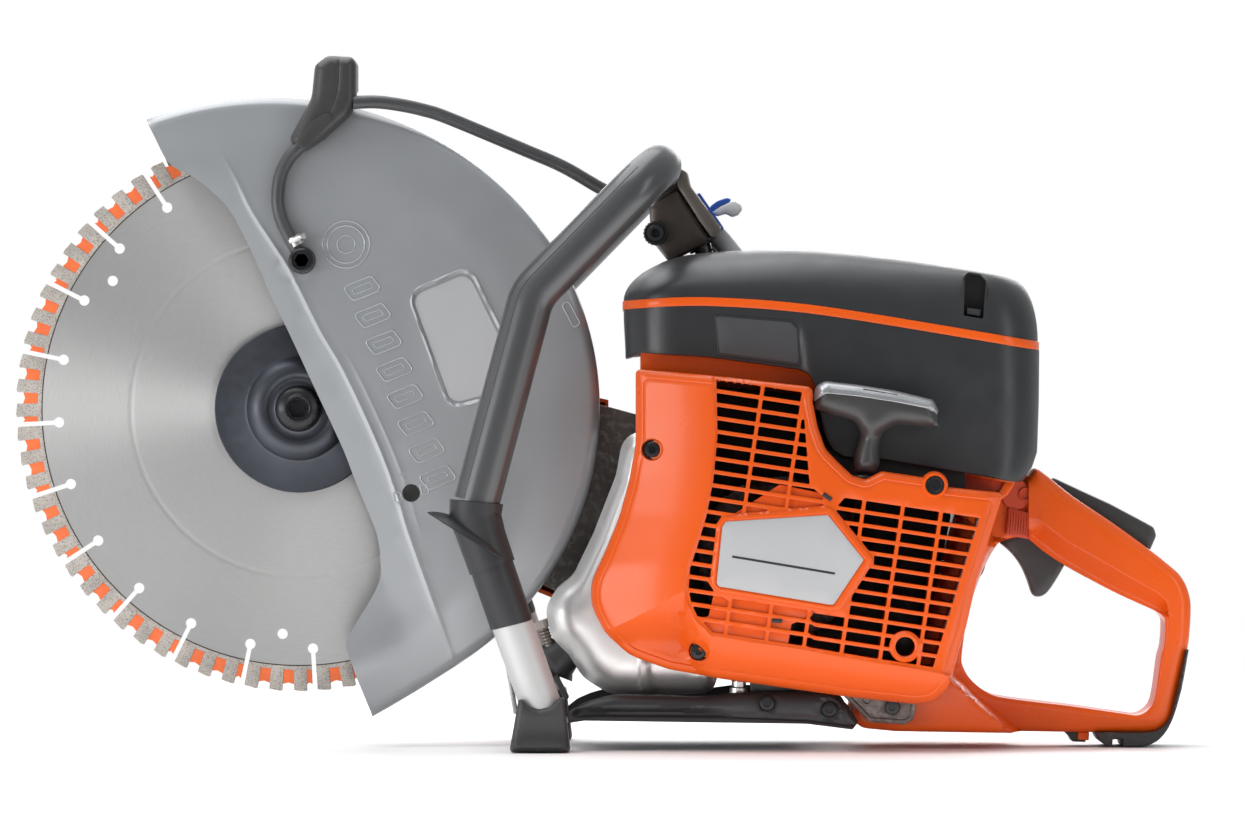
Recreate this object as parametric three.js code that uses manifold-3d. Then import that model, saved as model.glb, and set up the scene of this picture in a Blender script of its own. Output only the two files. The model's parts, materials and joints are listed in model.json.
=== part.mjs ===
// A hand-held petrol cut-off saw for concrete: a 350 mm diamond blade on a belt-driven arm, a two-stroke engine,
// a turning blade guard with a water supply, a front handle hoop and a rear handle moulded with the fuel tank.
// Millimetres. +Z is up, the blade is towards -X, the rear handle towards +X, and the starter faces -Y.
// The origin is on the ground, at the centre of the object's outer box.
import * as THREE from "three";
import { mergeVertices } from "three/addons/utils/BufferGeometryUtils.js";
import Module from "manifold-3d";

const wasm = await Module();
wasm.setup();

// ---- driving dimensions ----
const GAP = 0.3; // left between touching pieces
const BLADE_R = 175;
const BLADE_HALF = 1.6; // half the blade's thickness
const SLOTS = 24;
const HUB = [-187, 208]; // the blade spindle, as x and z
const CRANK = [109, 117]; // the crankshaft, as x and z
const TILT = THREE.MathUtils.degToRad(7); // the engine leans back by this much
const STROKE = 36;
const BORE_R = 25.5;
const SPINDLE_R = 10;
const DRIVEN_R = 47.5; // belt pulleys: 47.5 / 24 brings 9300 rpm down to 4700
const DRIVE_R = 24;
const BELT = [46.5, 57.5]; // the belt's near and far edge
const GUARD_R = 186;
const GUARD_Y = 26; // half the guard's width
const WALL = 3;
const LEG_Y = 92; // the front handle's legs stand this far out on each side
const TUBE_R = 11;
const GRIP_R = 14;
const STARTER_Y = [-112, -62];
const COVER_Y = [-78, 72];
const HANDLE_HALF = 24; // half the rear handle's width
const TANK_HALF = 56;
const TRIGGER_PIVOT = [268, 143];
const LOCK_PIVOT = [283, 157];
const GRIP_STEM = [160, 171]; // where the starter grip meets its ferrule
const PULL_Y = -93;

// ---- materials ----
const material = (color, roughness, metalness = 0) => new THREE.MeshStandardMaterial({ color, roughness, metalness });
const orange = material(0xe8571c, 0.35);
const graphite = material(0x3a3b3d, 0.5);
const black = material(0x1c1c1d, 0.6);
const rubber = material(0x2a2a2b, 0.85);
const guardPaint = material(0x9a9fa2, 0.45, 0.2);
const castAlloy = material(0x8c8b88, 0.5, 0.8);
const steel = material(0xb4b4b6, 0.3, 1);
const darkSteel = material(0x34373b, 0.4, 0.8);
const blue = material(0x24459b, 0.4);
const paper = material(0xd8cfae, 0.95);

const saw = new THREE.Group();
const engine = new THREE.Group(); // the engine's own frame: crankshaft along Y through its origin, cylinder along +Z
engine.position.set(CRANK[0], 0, CRANK[1]);
engine.rotation.y = TILT;
saw.add(engine);

function add(name, look, geometry, parent = saw) {
  const mesh = new THREE.Mesh(geometry, look);
  mesh.name = name;
  parent.add(mesh);
  return mesh;
}

// ---- joining and cutting ----
function solid(geometry) {
  const plain = geometry.index ? geometry.toNonIndexed() : geometry.clone();
  plain.deleteAttribute("normal");
  plain.deleteAttribute("uv");
  const merged = mergeVertices(plain, 1e-3);
  const { array } = merged.attributes.position;
  return new wasm.Manifold(new wasm.Mesh({ numProp: 3, vertProperties: array, triVerts: new Uint32Array(merged.index.array) }));
}

function geometryOf(made) {
  const mesh = made.getMesh();
  const geometry = new THREE.BufferGeometry();
  geometry.setAttribute("position", new THREE.BufferAttribute(Float32Array.from(mesh.vertProperties), 3));
  geometry.setIndex(new THREE.BufferAttribute(Uint32Array.from(mesh.triVerts), 1));
  return geometry;
}

const join = (first, ...rest) => geometryOf(rest.reduce((sum, g) => sum.add(solid(g)), solid(first)));
const cut = (first, ...rest) => geometryOf(rest.reduce((sum, g) => sum.subtract(solid(g)), solid(first)));
const common = (a, b) => geometryOf(solid(a).intersect(solid(b)));

// ---- shapes ----
// A closed outline through [x, z, cut] corners; each corner is cut back by its third value and rounded.
function outline(corners) {
  const points = corners.map(([x, y]) => new THREE.Vector2(x, y));
  const shape = new THREE.Shape();
  points.forEach((corner, i) => {
    const before = points.at(i - 1);
    const after = points[(i + 1) % points.length];
    const reach = (other) => Math.min(corners[i][2] ?? 0, corner.distanceTo(other) * 0.4) / corner.distanceTo(other);
    const entry = corner.clone().lerp(before, reach(before));
    const exit = corner.clone().lerp(after, reach(after));
    if (i === 0) shape.moveTo(entry.x, entry.y);
    else shape.lineTo(entry.x, entry.y);
    if (corners[i][2]) shape.quadraticCurveTo(corner.x, corner.y, exit.x, exit.y);
  });
  shape.closePath();
  return shape;
}

// The same corners drawn in towards a centre.
const shrunk = (corners, [cx, cz], by) => corners.map(([x, z, c = 0]) => [cx + (x - cx) * by, cz + (z - cz) * by, c * by]);

// A side outline in X and Z, extruded from y0 to y1, with its edges broken by bevel.
function slab(shape, y0, y1, bevel = 0, bevelSegments = 1, curveSegments = 3) {
  const geometry = new THREE.ExtrudeGeometry(shape, {
    depth: y1 - y0 - 2 * bevel,
    bevelEnabled: bevel > 0,
    bevelThickness: bevel,
    bevelSize: bevel,
    bevelOffset: -bevel,
    bevelSegments,
    curveSegments,
  });
  return geometry.rotateX(Math.PI / 2).translate(0, y1 - bevel, 0);
}

// A plan outline in X and Y, extruded from z0 up to z1.
const tower = (shape, z0, z1) =>
  new THREE.ExtrudeGeometry(shape, { depth: z1 - z0, bevelEnabled: false, curveSegments: 4 }).translate(0, 0, z0);

const box = (x0, x1, y0, y1, z0, z1) =>
  new THREE.BoxGeometry(x1 - x0, y1 - y0, z1 - z0).translate((x0 + x1) / 2, (y0 + y1) / 2, (z0 + z1) / 2);

// A turned piece about an axis along Y through x, z; the profile is [radius, y] points.
function turned(profile, x = 0, z = 0, segments = 20) {
  const points = profile.map(([r, y]) => new THREE.Vector2(r, y));
  if (THREE.ShapeUtils.area(points) < 0) points.reverse();
  return new THREE.LatheGeometry(points, segments).translate(x, 0, z);
}

const rod = (radius, y0, y1, x = 0, z = 0, segments = 20) =>
  new THREE.CylinderGeometry(radius, radius, y1 - y0, segments).translate(x, (y0 + y1) / 2, z);

// An upright round post on the cylinder's own axis, which stands 2 mm on the near side of the middle.
const post = (radius, z0, z1, segments = 20) =>
  rod(radius, z0, z1, 0, 0, segments).rotateX(Math.PI / 2).translate(0, -2, 0);

// A round hole for an outline, drawn clockwise.
function circle(x, y, radius, count = 24) {
  const at = (i) => polar(radius, (-2 * Math.PI * i) / count);
  return new THREE.Path(Array.from({ length: count }, (_, i) => new THREE.Vector2(x + at(i)[0], y + at(i)[1])));
}

const ring = (inner, outer, y0, y1) => [[inner, y0], [outer, y0], [outer, y1], [inner, y1], [inner, y0]];

// Straight runs joined by round bends, through [x, y, z, bend] corners. Its steps are spent on the bends;
// a corner whose bend is 0 is a plain station on a straight run.
class BentPath extends THREE.Curve {
  constructor(corners, bend = 20, perBend = 3) {
    super();
    const points = corners.map(([x, y, z]) => new THREE.Vector3(x, y, z));
    this.stations = [points[0]];
    this.at = [0]; // the station where each corner's bend ends
    for (let i = 1; i < points.length - 1; i++) {
      const [a, b, c] = [points[i - 1], points[i], points[i + 1]];
      const reach = corners[i][3] ?? bend;
      const entry = b.clone().lerp(a, Math.min(reach / a.distanceTo(b), 0.45));
      const exit = b.clone().lerp(c, Math.min(reach / b.distanceTo(c), 0.45));
      if (reach === 0) this.stations.push(b);
      else this.stations.push(...new THREE.QuadraticBezierCurve3(entry, b, exit).getPoints(perBend));
      this.at.push(this.stations.length - 1);
    }
    this.stations.push(points.at(-1));
    this.at.push(this.stations.length - 1);
  }
  // The same path between two of its corners.
  part(from, to) {
    const piece = new BentPath([[0, 0, 0], [0, 0, 1]]);
    piece.stations = this.stations.slice(this.at[from], this.at[to] + 1);
    return piece;
  }
  get steps() {
    return this.stations.length - 1;
  }
  getSpacedPoints() {
    return this.stations.map((p) => p.clone());
  }
  getTangentAt(u) {
    const i = Math.round(u * this.steps);
    const before = this.stations[Math.max(i - 1, 0)];
    const after = this.stations[Math.min(i + 1, this.steps)];
    return after.clone().sub(before).normalize();
  }
}

// A round section swept along a bent path, with a bore if inner is given.
function pipe(path, radius, inner = 0, sides = 12) {
  const shape = new THREE.Shape().absarc(0, 0, radius, 0, 2 * Math.PI);
  if (inner) shape.holes.push(circle(0, 0, inner, sides));
  const options = { steps: path.steps, extrudePath: path, bevelEnabled: false, curveSegments: sides / 2 };
  return new THREE.ExtrudeGeometry(shape, options);
}

const polar = (radius, angle) => [radius * Math.cos(angle), radius * Math.sin(angle)];
const radians = THREE.MathUtils.degToRad;

// ---- blade and spindle ----
function bladeShape() {
  const KEYHOLE = { radius: 3.3, at: 148.7, slotHalf: 1.4 };
  const ARC_STEPS = 2;
  const pitch = (2 * Math.PI) / SLOTS;
  const shape = new THREE.Shape();
  for (let i = 0; i < SLOTS; i++) {
    const middle = radians(3.3) + i * pitch; // a slot's own angle
    const half = KEYHOLE.slotHalf / BLADE_R;
    const [kx, ky] = polar(KEYHOLE.at, middle);
    const start = polar(BLADE_R, middle - half);
    if (i === 0) shape.moveTo(...start);
    else shape.lineTo(...start);
    const opening = Math.asin(KEYHOLE.slotHalf / KEYHOLE.radius);
    shape.absarc(kx, ky, KEYHOLE.radius, middle - opening, middle + opening - 2 * Math.PI, true);
    shape.lineTo(...polar(BLADE_R, middle + half));
    for (let k = 1; k < ARC_STEPS; k++) {
      shape.lineTo(...polar(BLADE_R, middle + half + ((pitch - 2 * half) * k) / ARC_STEPS));
    }
  }
  shape.closePath();
  shape.holes.push(circle(0, 0, 12.8));
  const HOLE = { radius: 3.2, at: 139.7, first: radians(25.6), count: 3 };
  for (let i = 0; i < HOLE.count; i++) {
    shape.holes.push(circle(...polar(HOLE.at, HOLE.first + (i * 2 * Math.PI) / HOLE.count), HOLE.radius, 10));
  }
  return shape;
}

function spindleBody() {
  const face = BLADE_HALF + GAP;
  const blade = slab(bladeShape(), -BLADE_HALF, BLADE_HALF, 0, 0, 4).translate(HUB[0], 0, HUB[1]);
  add("blade", steel, blade);
  const flange = (profile) => turned(profile, ...HUB, 28);
  const outer = [[5.5, -face], [52, -face], [52, -5], [33, -6], [26, -13], [14, -14], [5.5, -14], [5.5, -face]];
  add("outer_flange", darkSteel, flange(outer));
  // The inner flange carries the spigot that centres the blade.
  const inner = [[5.5, -1], [12.4, -1], [12.4, face], [52, face], [52, 5], [30, 9], [5.5, 9], [5.5, -1]];
  add("inner_flange", darkSteel, flange(inner));
  const bolt = [[0, -24], [7, -24], [9.5, -22.5], [9.5, -17], [14, -16.6], [14, -14.3], [5, -14.3], [5, 22], [0, 22]];
  add("blade_bolt", darkSteel, turned(bolt, ...HUB));
  const shaft = [[0, 24], [5.4, 24], [5.4, 9.3], [SPINDLE_R, 9.3], [SPINDLE_R, 62], [0, 62]];
  add("spindle_shaft", steel, turned(shaft, ...HUB));
  const web = DRIVEN_R - 10;
  const [b0, b1] = BELT;
  const pulley = [
    [SPINDLE_R + GAP, 44], [18, 44], [18, 50], [web, 50], [web, b0 - 1], [DRIVEN_R, b0 - 1],
    [DRIVEN_R, b1 + 1], [web, b1 + 1], [web, 54], [SPINDLE_R + GAP, 54], [SPINDLE_R + GAP, 44],
  ];
  add("driven_pulley", castAlloy, turned(pulley, ...HUB, 24));
  add("spindle_bearing", steel, turned(ring(SPINDLE_R + GAP, 20, 14, 34), ...HUB));
}

// ---- cutting arm and belt drive ----
// A plan of the drive's outline: the arm and both belt covers follow it, grown by margin.
const driveOutline = (margin, hubRadius = 40) => {
  const [x, z] = HUB;
  const r = hubRadius + margin;
  return outline([
    [x - r, z - r, r], [x - r, z + r, r], [x + 20, z + r, 30], [15, 207 + margin, 30], [160 + margin, 160 + margin, 40],
    [160 + margin, 66 - margin, 40], [40, 66 - margin, 40], [-20, 90 - margin, 30], [x + 10, z - r, 30],
  ]);
};

function beltOutline(offset) {
  const [dx, dz] = [CRANK[0] - HUB[0], CRANK[1] - HUB[1]];
  const lean = Math.atan2(dz, dx);
  const wrap = Math.acos((DRIVEN_R - DRIVE_R) / Math.hypot(dx, dz));
  const shape = new THREE.Shape();
  shape.absarc(...HUB, DRIVEN_R + offset, lean + wrap, lean - wrap + 2 * Math.PI, false);
  shape.absarc(...CRANK, DRIVE_R + offset, lean - wrap, lean + wrap, false);
  shape.closePath();
  return shape;
}

function driveParts() {
  const boss = rod(28, 12, 30, ...HUB, 28);
  const bore = rod(20 + GAP, 10, 44, ...HUB, 28);
  const crankHole = rod(16, 20, 50, ...CRANK);
  const arm = slab(driveOutline(0), 27, 40);
  add("cutting_arm", castAlloy, cut(join(arm, boss), bore, crankHole));
  const belt = beltOutline(4);
  belt.holes.push(new THREE.Path(beltOutline(GAP).getPoints(12).reverse()));
  add("drive_belt", rubber, slab(belt, ...BELT, 0, 0, 12));

  // The covers are dishes that open towards the arm, split at SPLIT.
  const SPLIT = 4;
  const FAR = 76;
  const dish = (far) =>
    cut(slab(driveOutline(5, 54), 41, far, 4), slab(driveOutline(2, 54), 40, far - WALL));
  add("belt_guard", orange, common(dish(72), box(-400, SPLIT, 0, 100, 0, 400)));
  add("clutch_cover", graphite, common(dish(FAR), box(SPLIT + GAP, 400, 0, 100, 0, 400)));
}

// ---- engine, in its own frame ----
function crankParts() {
  const journal = turned([[0, -80], [8, -80], [10, -76], [10, 72], [0, 72]]);
  const web = (y0, y1) => rod(30, y0, y1);
  const throat = cut(join(journal, web(-22, -10), web(6, 18)), rod(20, -10, 6));
  const pin = rod(7, -11, 7, 0, STROKE / 2, 16);
  add("crankshaft", steel, join(throat, pin), engine);

  const BLADES = 8;
  let wheel = solid(turned(ring(10 + GAP, 50, -72, -58)));
  for (let i = 0; i < BLADES; i++) {
    const vane = box(22, 49, -78, -71, -1.5, 1.5).rotateY((i * 2 * Math.PI) / BLADES);
    wheel = wheel.add(solid(vane));
  }
  add("flywheel", castAlloy, geometryOf(wheel), engine);

  const [b0, b1] = BELT;
  const drum = [
    [10.4, b0 - 1], [DRIVE_R, b0 - 1], [DRIVE_R, b1 + 1], [34, b1 + 1.5], [34, 70], [31.5, 70], [31.5, 62], [10.4, 62],
    [10.4, b0 - 1],
  ];
  add("clutch_drum", steel, turned(drum), engine);
  const shoes = turned(ring(10.4, 30.5, 63, 70));
  const cuts = [0, 1, 2].map((i) => box(13, 40, 60, 75, -1.5, 1.5).rotateY((i * 2 * Math.PI) / 3));
  add("clutch_shoes", darkSteel, cut(shoes, ...cuts), engine);
  const pulley = [
    [0, -98], [30, -98], [30, -96.5], [26, -95], [26, -91], [30, -89.5], [30, -88], [6, -88], [6, -82], [0, -82],
  ];
  add("starter_pulley", black, turned(pulley), engine);
}

function engineParts() {
  const caseShape = outline([
    [-38, -40, 30], [-38, 42], [44, 42], [50, 10, 20], [56, -40, 20], [30, -72, 14], [-20, -72, 20],
  ]);
  const body = slab(caseShape, -50, 26.5, 3);
  // A lug on the near side reaches down and back to the rear handle unit's mounting.
  const lug = slab(outline([[6, -52], [44, -52], [70, -74], [96, -86], [91, -97], [60, -97], [36, -76]]), -61.5, -56.5);
  const lugRoot = slab(outline([[8, -54], [36, -54], [36, -70], [8, -70]]), -58, -40);
  const hollow = rod(33, -26, 22);
  const shaftBore = rod(10.4, -60, 40);
  const mouth = post(BORE_R + GAP, 10, 50);
  add("crankcase", castAlloy, cut(join(body, lugRoot, lug), hollow, shaftBore, mouth), engine);

  const FINS = { count: 6, first: 54, pitch: 13.5, thick: 4, half: [42, 28] };
  let barrel = solid(post(28.5, 42 + GAP, 134, 24));
  for (let i = 0; i < FINS.count; i++) {
    const z = FINS.first + i * FINS.pitch;
    barrel = barrel.add(solid(box(-FINS.half[0], FINS.half[0], -2 - FINS.half[1], FINS.half[1] - 2, z, z + FINS.thick)));
  }
  barrel = barrel.subtract(solid(post(BORE_R, 40, 122, 24))).subtract(solid(post(7.3, 120, 140, 12)));
  add("cylinder", castAlloy, geometryOf(barrel), engine);

  const upright = (profile, segments = 20) => turned(profile, 0, 0, segments).rotateX(Math.PI / 2).translate(0, -2, 0);
  add("piston", castAlloy, post(BORE_R - GAP, 76, 118, 20), engine);
  const plug = [[0, 124], [7, 124], [7, 134.5], [10.5, 134.5], [10.5, 141], [6, 142], [6, 158], [0, 158]];
  add("spark_plug", paper, upright(plug, 6), engine);
}

function intakeParts() {
  const bowl = box(176, 206, -28, 14, 172, 200);
  const throat = rod(11, -24, 24).rotateZ(Math.PI / 2).translate(196, -6, 188);
  add("carburettor", castAlloy, join(bowl, throat));
  add("air_filter", paper, slab(outline([[176, 212, 4], [176, 250, 4], [248, 240, 4], [248, 206, 4]]), -58, 50));
}

// ---- covers ----
// The air filter's housing, its trim line and its lid share one plan with round corners and one curved parting line.
const PART_LINE = [[12, 271], [40, 273.3], [62, 273.5], [95, 271.8], [125, 269], [150, 265.6], [178, 261], [269, 245.7]];
const TRIM = 5.4;
const partLine = (lift) => PART_LINE.map(([x, z]) => [x, z + lift]);

function coverParts() {
  const [y0, y1] = COVER_Y;
  const plan = (inset) => {
    const [x0, x1] = [13 + inset, 268 - inset];
    const rounding = 34 - inset;
    return outline([
      [x0, y0 + inset, rounding], [x1, y0 + inset, rounding], [x1, y1 - inset, rounding], [x0, y1 - inset, rounding],
    ]);
  };
  const lower = outline([
    [14, 239, 6], [67, 239, 10], [125, 231, 6], [133, 221, 10], [135, 196, 14], [148, 177, 12], [171, 177, 10],
    [257, 162, 8], [267, 185, 20], ...partLine(0).reverse(),
  ]);
  const housing = common(slab(lower, y0, y1), tower(plan(0), 100, 400));
  add("air_filter_housing", graphite, cut(housing, tower(plan(WALL), 90, 410)));

  const band = outline([...partLine(GAP), ...partLine(TRIM).reverse()]);
  const trim = common(slab(band, y0 - 1, y1 + 1), tower(plan(0), 100, 400));
  add("cover_trim", orange, cut(trim, tower(plan(WALL + 4), 90, 410)));

  const lid = (inset) =>
    outline([
      ...partLine(TRIM + GAP - 2 * inset),
      [268 - inset, 282 - inset, 22], [200, 297 - inset, 30], [110, 306 - inset, 50],
      [40, 300 - inset, 30], [13 + inset, 289 - inset],
    ]);
  const dome = common(slab(lid(0), y0, y1, 5), tower(plan(0), 100, 400));
  add("air_filter_lid", graphite, cut(dome, common(slab(lid(WALL), y0, y1), tower(plan(WALL), 100, 400))));

  const rise = outline([[24, 214], [24, 246], [170, 229], [170, 214]]);
  const shroud = cut(slab(rise, -61.5, 58), box(27, 167, -58.5, 55, 200, 300), rod(6.6, 50, 70, 70, 227, 16));
  add("cylinder_shroud", orange, shroud);
}

// ---- starter cover ----
const STARTER_CORNERS = [
  [21, 232], [128, 221], [132, 188, 20], [150, 170, 18], [243, 153], [214, 27, 24], [41, 51, 24],
  [2, 60, 24], [-12, 98, 22], [21, 190, 25],
];
const GRILLE = { at: [70, 223], pitch: [24.2, 7.95], bar: [2.8, 2.5], columns: 7, rows: 22 };
// The grille covers this zone, apart from the plate in its middle.
const GRILLE_ZONE = [[68, 224], [124, 218], [128, 180], [148, 164], [240, 149], [207, 40], [66, 63], [49, 88], [52, 112], [66, 160]];
const PLATE_ZONE = [[66, 148], [139, 153], [167, 117], [146, 84], [66, 92]];

const inside = ([x, z], polygon) =>
  polygon.reduce((odd, [x1, z1], i) => {
    const [x2, z2] = polygon.at(i - 1);
    return z1 > z !== z2 > z && x < ((x2 - x1) * (z - z1)) / (z2 - z1) + x1 ? !odd : odd;
  }, false);

function grilleSlots() {
  const [across, up] = [[Math.cos(TILT), -Math.sin(TILT)], [Math.sin(TILT), Math.cos(TILT)]];
  const at = (u, v) => [GRILLE.at[0] + u * across[0] + v * up[0], GRILLE.at[1] + u * across[1] + v * up[1]];
  const slots = [];
  for (let row = 0; row < GRILLE.rows; row++) {
    for (let column = -1; column < GRILLE.columns; column++) {
      const [u0, u1] = [column * GRILLE.pitch[0] + GRILLE.bar[0], (column + 1) * GRILLE.pitch[0]];
      const [v0, v1] = [-(row + 1) * GRILLE.pitch[1] + GRILLE.bar[1], -row * GRILLE.pitch[1]];
      const corners = [at(u0, v0), at(u1, v0), at(u1, v1), at(u0, v1)];
      if (corners.every((p) => inside(p, GRILLE_ZONE) && !inside(p, PLATE_ZONE))) slots.push(corners);
    }
  }
  return slots;
}

function starterParts() {
  const [y0, y1] = STARTER_Y;
  const shell = slab(outline(STARTER_CORNERS), y0, y1 + 8, 8, 2);
  const inner = outline(shrunk(STARTER_CORNERS, [115, 130], 0.955));
  const ferrule = new THREE.CylinderGeometry(4, 4, 40, 12).rotateX(Math.PI / 2).translate(GRIP_STEM[0], PULL_Y, 165);
  const slots = grilleSlots().map((corners) => slab(outline(corners), y0 - 5, y0 + 12));
  const cover = cut(shell, slab(inner, y0 + WALL, y1 + 20, 3), box(-50, 300, y1, y1 + 30, 0, 300), ferrule, ...slots);
  add("starter_cover", orange, cover);

  // The grip's stem leans back with the engine by 5 degrees.
  const stem = outline([
    [137, 224, 8], [204, 212, 8], [206, 197], [174, 199, 8], [169, 184, 8], [168, 178], [165.5, GRIP_STEM[1]],
    [154.5, GRIP_STEM[1]], [152, 178], [155, 187, 8], [157, 201, 8], [133, 209], [130.5, 214],
  ]);
  const ropeHole = new THREE.CylinderGeometry(2.6, 2.6, 40, 10).rotateX(Math.PI / 2).translate(160.5, PULL_Y, 164);
  add("starter_grip", graphite, cut(slab(stem, PULL_Y - 13, PULL_Y + 13, 3), ropeHole));
  const route = [[140.5, PULL_Y, 112], [GRIP_STEM[0], PULL_Y, 160], [160.6, PULL_Y, 183]];
  add("starter_rope", black, pipe(new BentPath(route, 8, 3), 2, 0, 8));
}

// ---- muffler ----
const MUFFLER_CORNERS = [
  [14, 196, 16], [8, 165, 20], [-8, 125, 20], [-34, 98, 16], [-33, 66, 14], [-12, 40, 20], [6, 33, 20], [70, 33, 16],
  [70, 54, 10], [57, 78, 20], [56, 120, 20], [42, 192, 16],
];

function mufflerParts() {
  const SEAM = 19;
  const skin = slab(outline(MUFFLER_CORNERS), -60, 18, 6);
  const can = cut(skin, slab(outline(shrunk(MUFFLER_CORNERS, [22, 92], 0.95)), -57, 15, 4));
  add("muffler_front_shell", steel, common(can, box(-100, SEAM, -100, 100, 0, 300)));
  add("muffler_rear_shell", steel, common(can, box(SEAM + GAP, 200, -100, 100, 0, 300)));
}

// ---- rear handle and fuel tank ----
const HANDLE_CORNERS = [
  [236, 160], [268, 180], [284, 160, 14], [345, 116, 20], [366, 98, 18], [364, 55, 10], [356, 26, 12],
  [350, 8, 12], [300, 8], [152, 12, 12], [158, 60, 10], [196, 76, 14], [216, 144, 14],
];
const LOOP_CORNERS = [
  [248, 124, 4], [234, 100, 20], [222, 46, 22], [250, 27, 16], [334, 14, 14], [344, 24, 10], [350, 70, 14],
  [340, 82, 14], [285, 110, 10],
];
const TANK_CORNERS = [
  [152, 12, 12], [262, 9], [222, 44, 20], [234, 100, 14], [246, 136], [216, 144, 14], [196, 76, 14], [158, 60, 10],
];

function rearHandleParts() {
  const body = slab(outline(HANDLE_CORNERS), -HANDLE_HALF, HANDLE_HALF, 6);
  const tank = slab(outline(TANK_CORNERS), -TANK_HALF, TANK_HALF, 6);
  const loop = slab(outline(LOOP_CORNERS), -80, 80);
  const SLOT = 9; // half the width of the slots that the trigger and the lock lever work in
  const triggerSlot = slab(outline([[236, 130], [252, 156], [276, 156], [306, 112], [292, 96], [240, 100]]), -SLOT, SLOT);
  const lockSlot = slab(outline([[270, 170], [290, 175], [360, 124], [345, 98], [328, 104], [278, 148]]), -SLOT, SLOT);
  // The tank is hollow, and its filler opens on the far side.
  const fuel = slab(outline([[158, 17, 4], [236, 15, 4], [214, 44, 12], [222, 84, 8], [204, 74, 8], [164, 54, 8]]), -50, 50);
  const filler = rod(16, 45, 70, 194, 38);
  const bulbPocket = rod(11, 51, 70, 226, 112);
  const unit = cut(join(body, tank), loop, triggerSlot, lockSlot, fuel, filler, bulbPocket);
  add("tank_handle_left", orange, common(unit, box(100, 400, -100, -GAP / 2, -10, 300)));
  add("tank_handle_right", orange, common(unit, box(100, 400, GAP / 2, 100, -10, 300)));
  const cap = [[0, 46], [15, 46], [15, TANK_HALF + GAP], [22, TANK_HALF + GAP], [22, 68], [19, 70], [0, 70]];
  add("fuel_cap", black, turned(cap, 194, 38));

  const [tx, tz] = TRIGGER_PIVOT;
  const trigger = outline([
    [tx - 7, tz + 5, 4], [tx + 6, tz + 6, 4], [286, 112, 3], [278, 94, 6], [269, 90, 5], [262, 108, 14], [246, 125, 3],
    [256, 130, 4],
  ]);
  add("throttle_trigger", graphite, slab(trigger, -7.5, 7.5, 1));
  const [lx, lz] = LOCK_PIVOT;
  const lock = outline([
    [lx - 6, lz + 4, 2], [lx - 3, lz + 8, 2], [345, 134, 5], [341, 117.5, 4], [325, 124, 4], [lx, lz - 8, 6],
  ]);
  add("throttle_lockout", graphite, slab(lock, -7, 7, 1));

  const foot = outline([
    [303, 7.6], [308, 0, 3], [340, 0, 8], [356, 10, 8], [363, 28, 6], [366, 56], [364.6, 56], [356.8, 26, 12], [350.6, 7.6, 12],
  ]);
  add("rear_foot", rubber, slab(foot, -30, 30));

  const switchBox = box(262, 284, HANDLE_HALF + GAP, 29, 138, 146);
  add("stop_switch", black, switchBox);
  const bulb = [[0, 54.5], [10, 54.5], [10, 59], [8, 63], [4, 65.5], [0, 66]];
  add("purge_bulb", rubber, turned(bulb, 226, 112, 16));
}

// ---- front handle ----
// One leg, from its foot up to the hoop's top corner. The sleeve covers corners 1 to 2, the grip starts at corner 4.
function handleLeg(side) {
  const y = side * LEG_Y;
  return [
    [-31, y, 12], [-53.5, y, 76, 0], [-72.6, y, 130.5, 0], [-78, y, 146, 12], [-71.5, y, 166, 0], [-42, y, 277, 26],
    [35, y, 356, 26],
  ];
}

function frontHandleParts() {
  const hoop = new BentPath([...handleLeg(-1), ...handleLeg(1).reverse()]);
  add("front_handle_tube", castAlloy, pipe(hoop, TUBE_R));
  add("handle_grip", graphite, pipe(hoop.part(4, 9), GRIP_R, TUBE_R + GAP));
  add("handle_sleeve", graphite, pipe(hoop.part(1, 2), GRIP_R - 1, TUBE_R + GAP));

  const foot = (side, name) => {
    const y = side * LEG_Y;
    const block = slab(outline([[-55, 0], [-19, 0], [-23, 33], [-50, 33]]), y - 20, y + 20, 3);
    const socket = pipe(new BentPath([[-30.6, y, 11], [-53.5, y, 76]]), TUBE_R + GAP);
    add(name, rubber, cut(block, socket));
  };
  foot(-1, "foot_left");
  foot(1, "foot_right");

  const flange = outline([
    [-17, 17], [128, 15], [153, 11], [157, 17], [148, 29, 6], [139, 35], [87, 35], [70, 32], [8, 35], [-17, 25],
  ]);
  const WIDTH = 70;
  const cheek = (y) => slab(flange, y - 3, y + 3);
  const floor = slab(outline([[-16, 17.5], [128, 15.5], [128, 19.5], [-16, 21.5]]), -WIDTH, WIDTH);
  add("base_bracket", black, join(floor, cheek(-WIDTH), cheek(WIDTH)));
  const damper = turned([[0, -17], [6, -17], [6, -12], [14, -10], [11, 0], [14, 10], [6, 12], [6, 17], [0, 17]], 0, 0, 16);
  add("rubber_damper", rubber, damper.rotateX(Math.PI / 2).rotateY(radians(-35)).translate(-24, 38, 54));
}

// ---- water supply ----
const VALVE_Y = 20;

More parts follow.
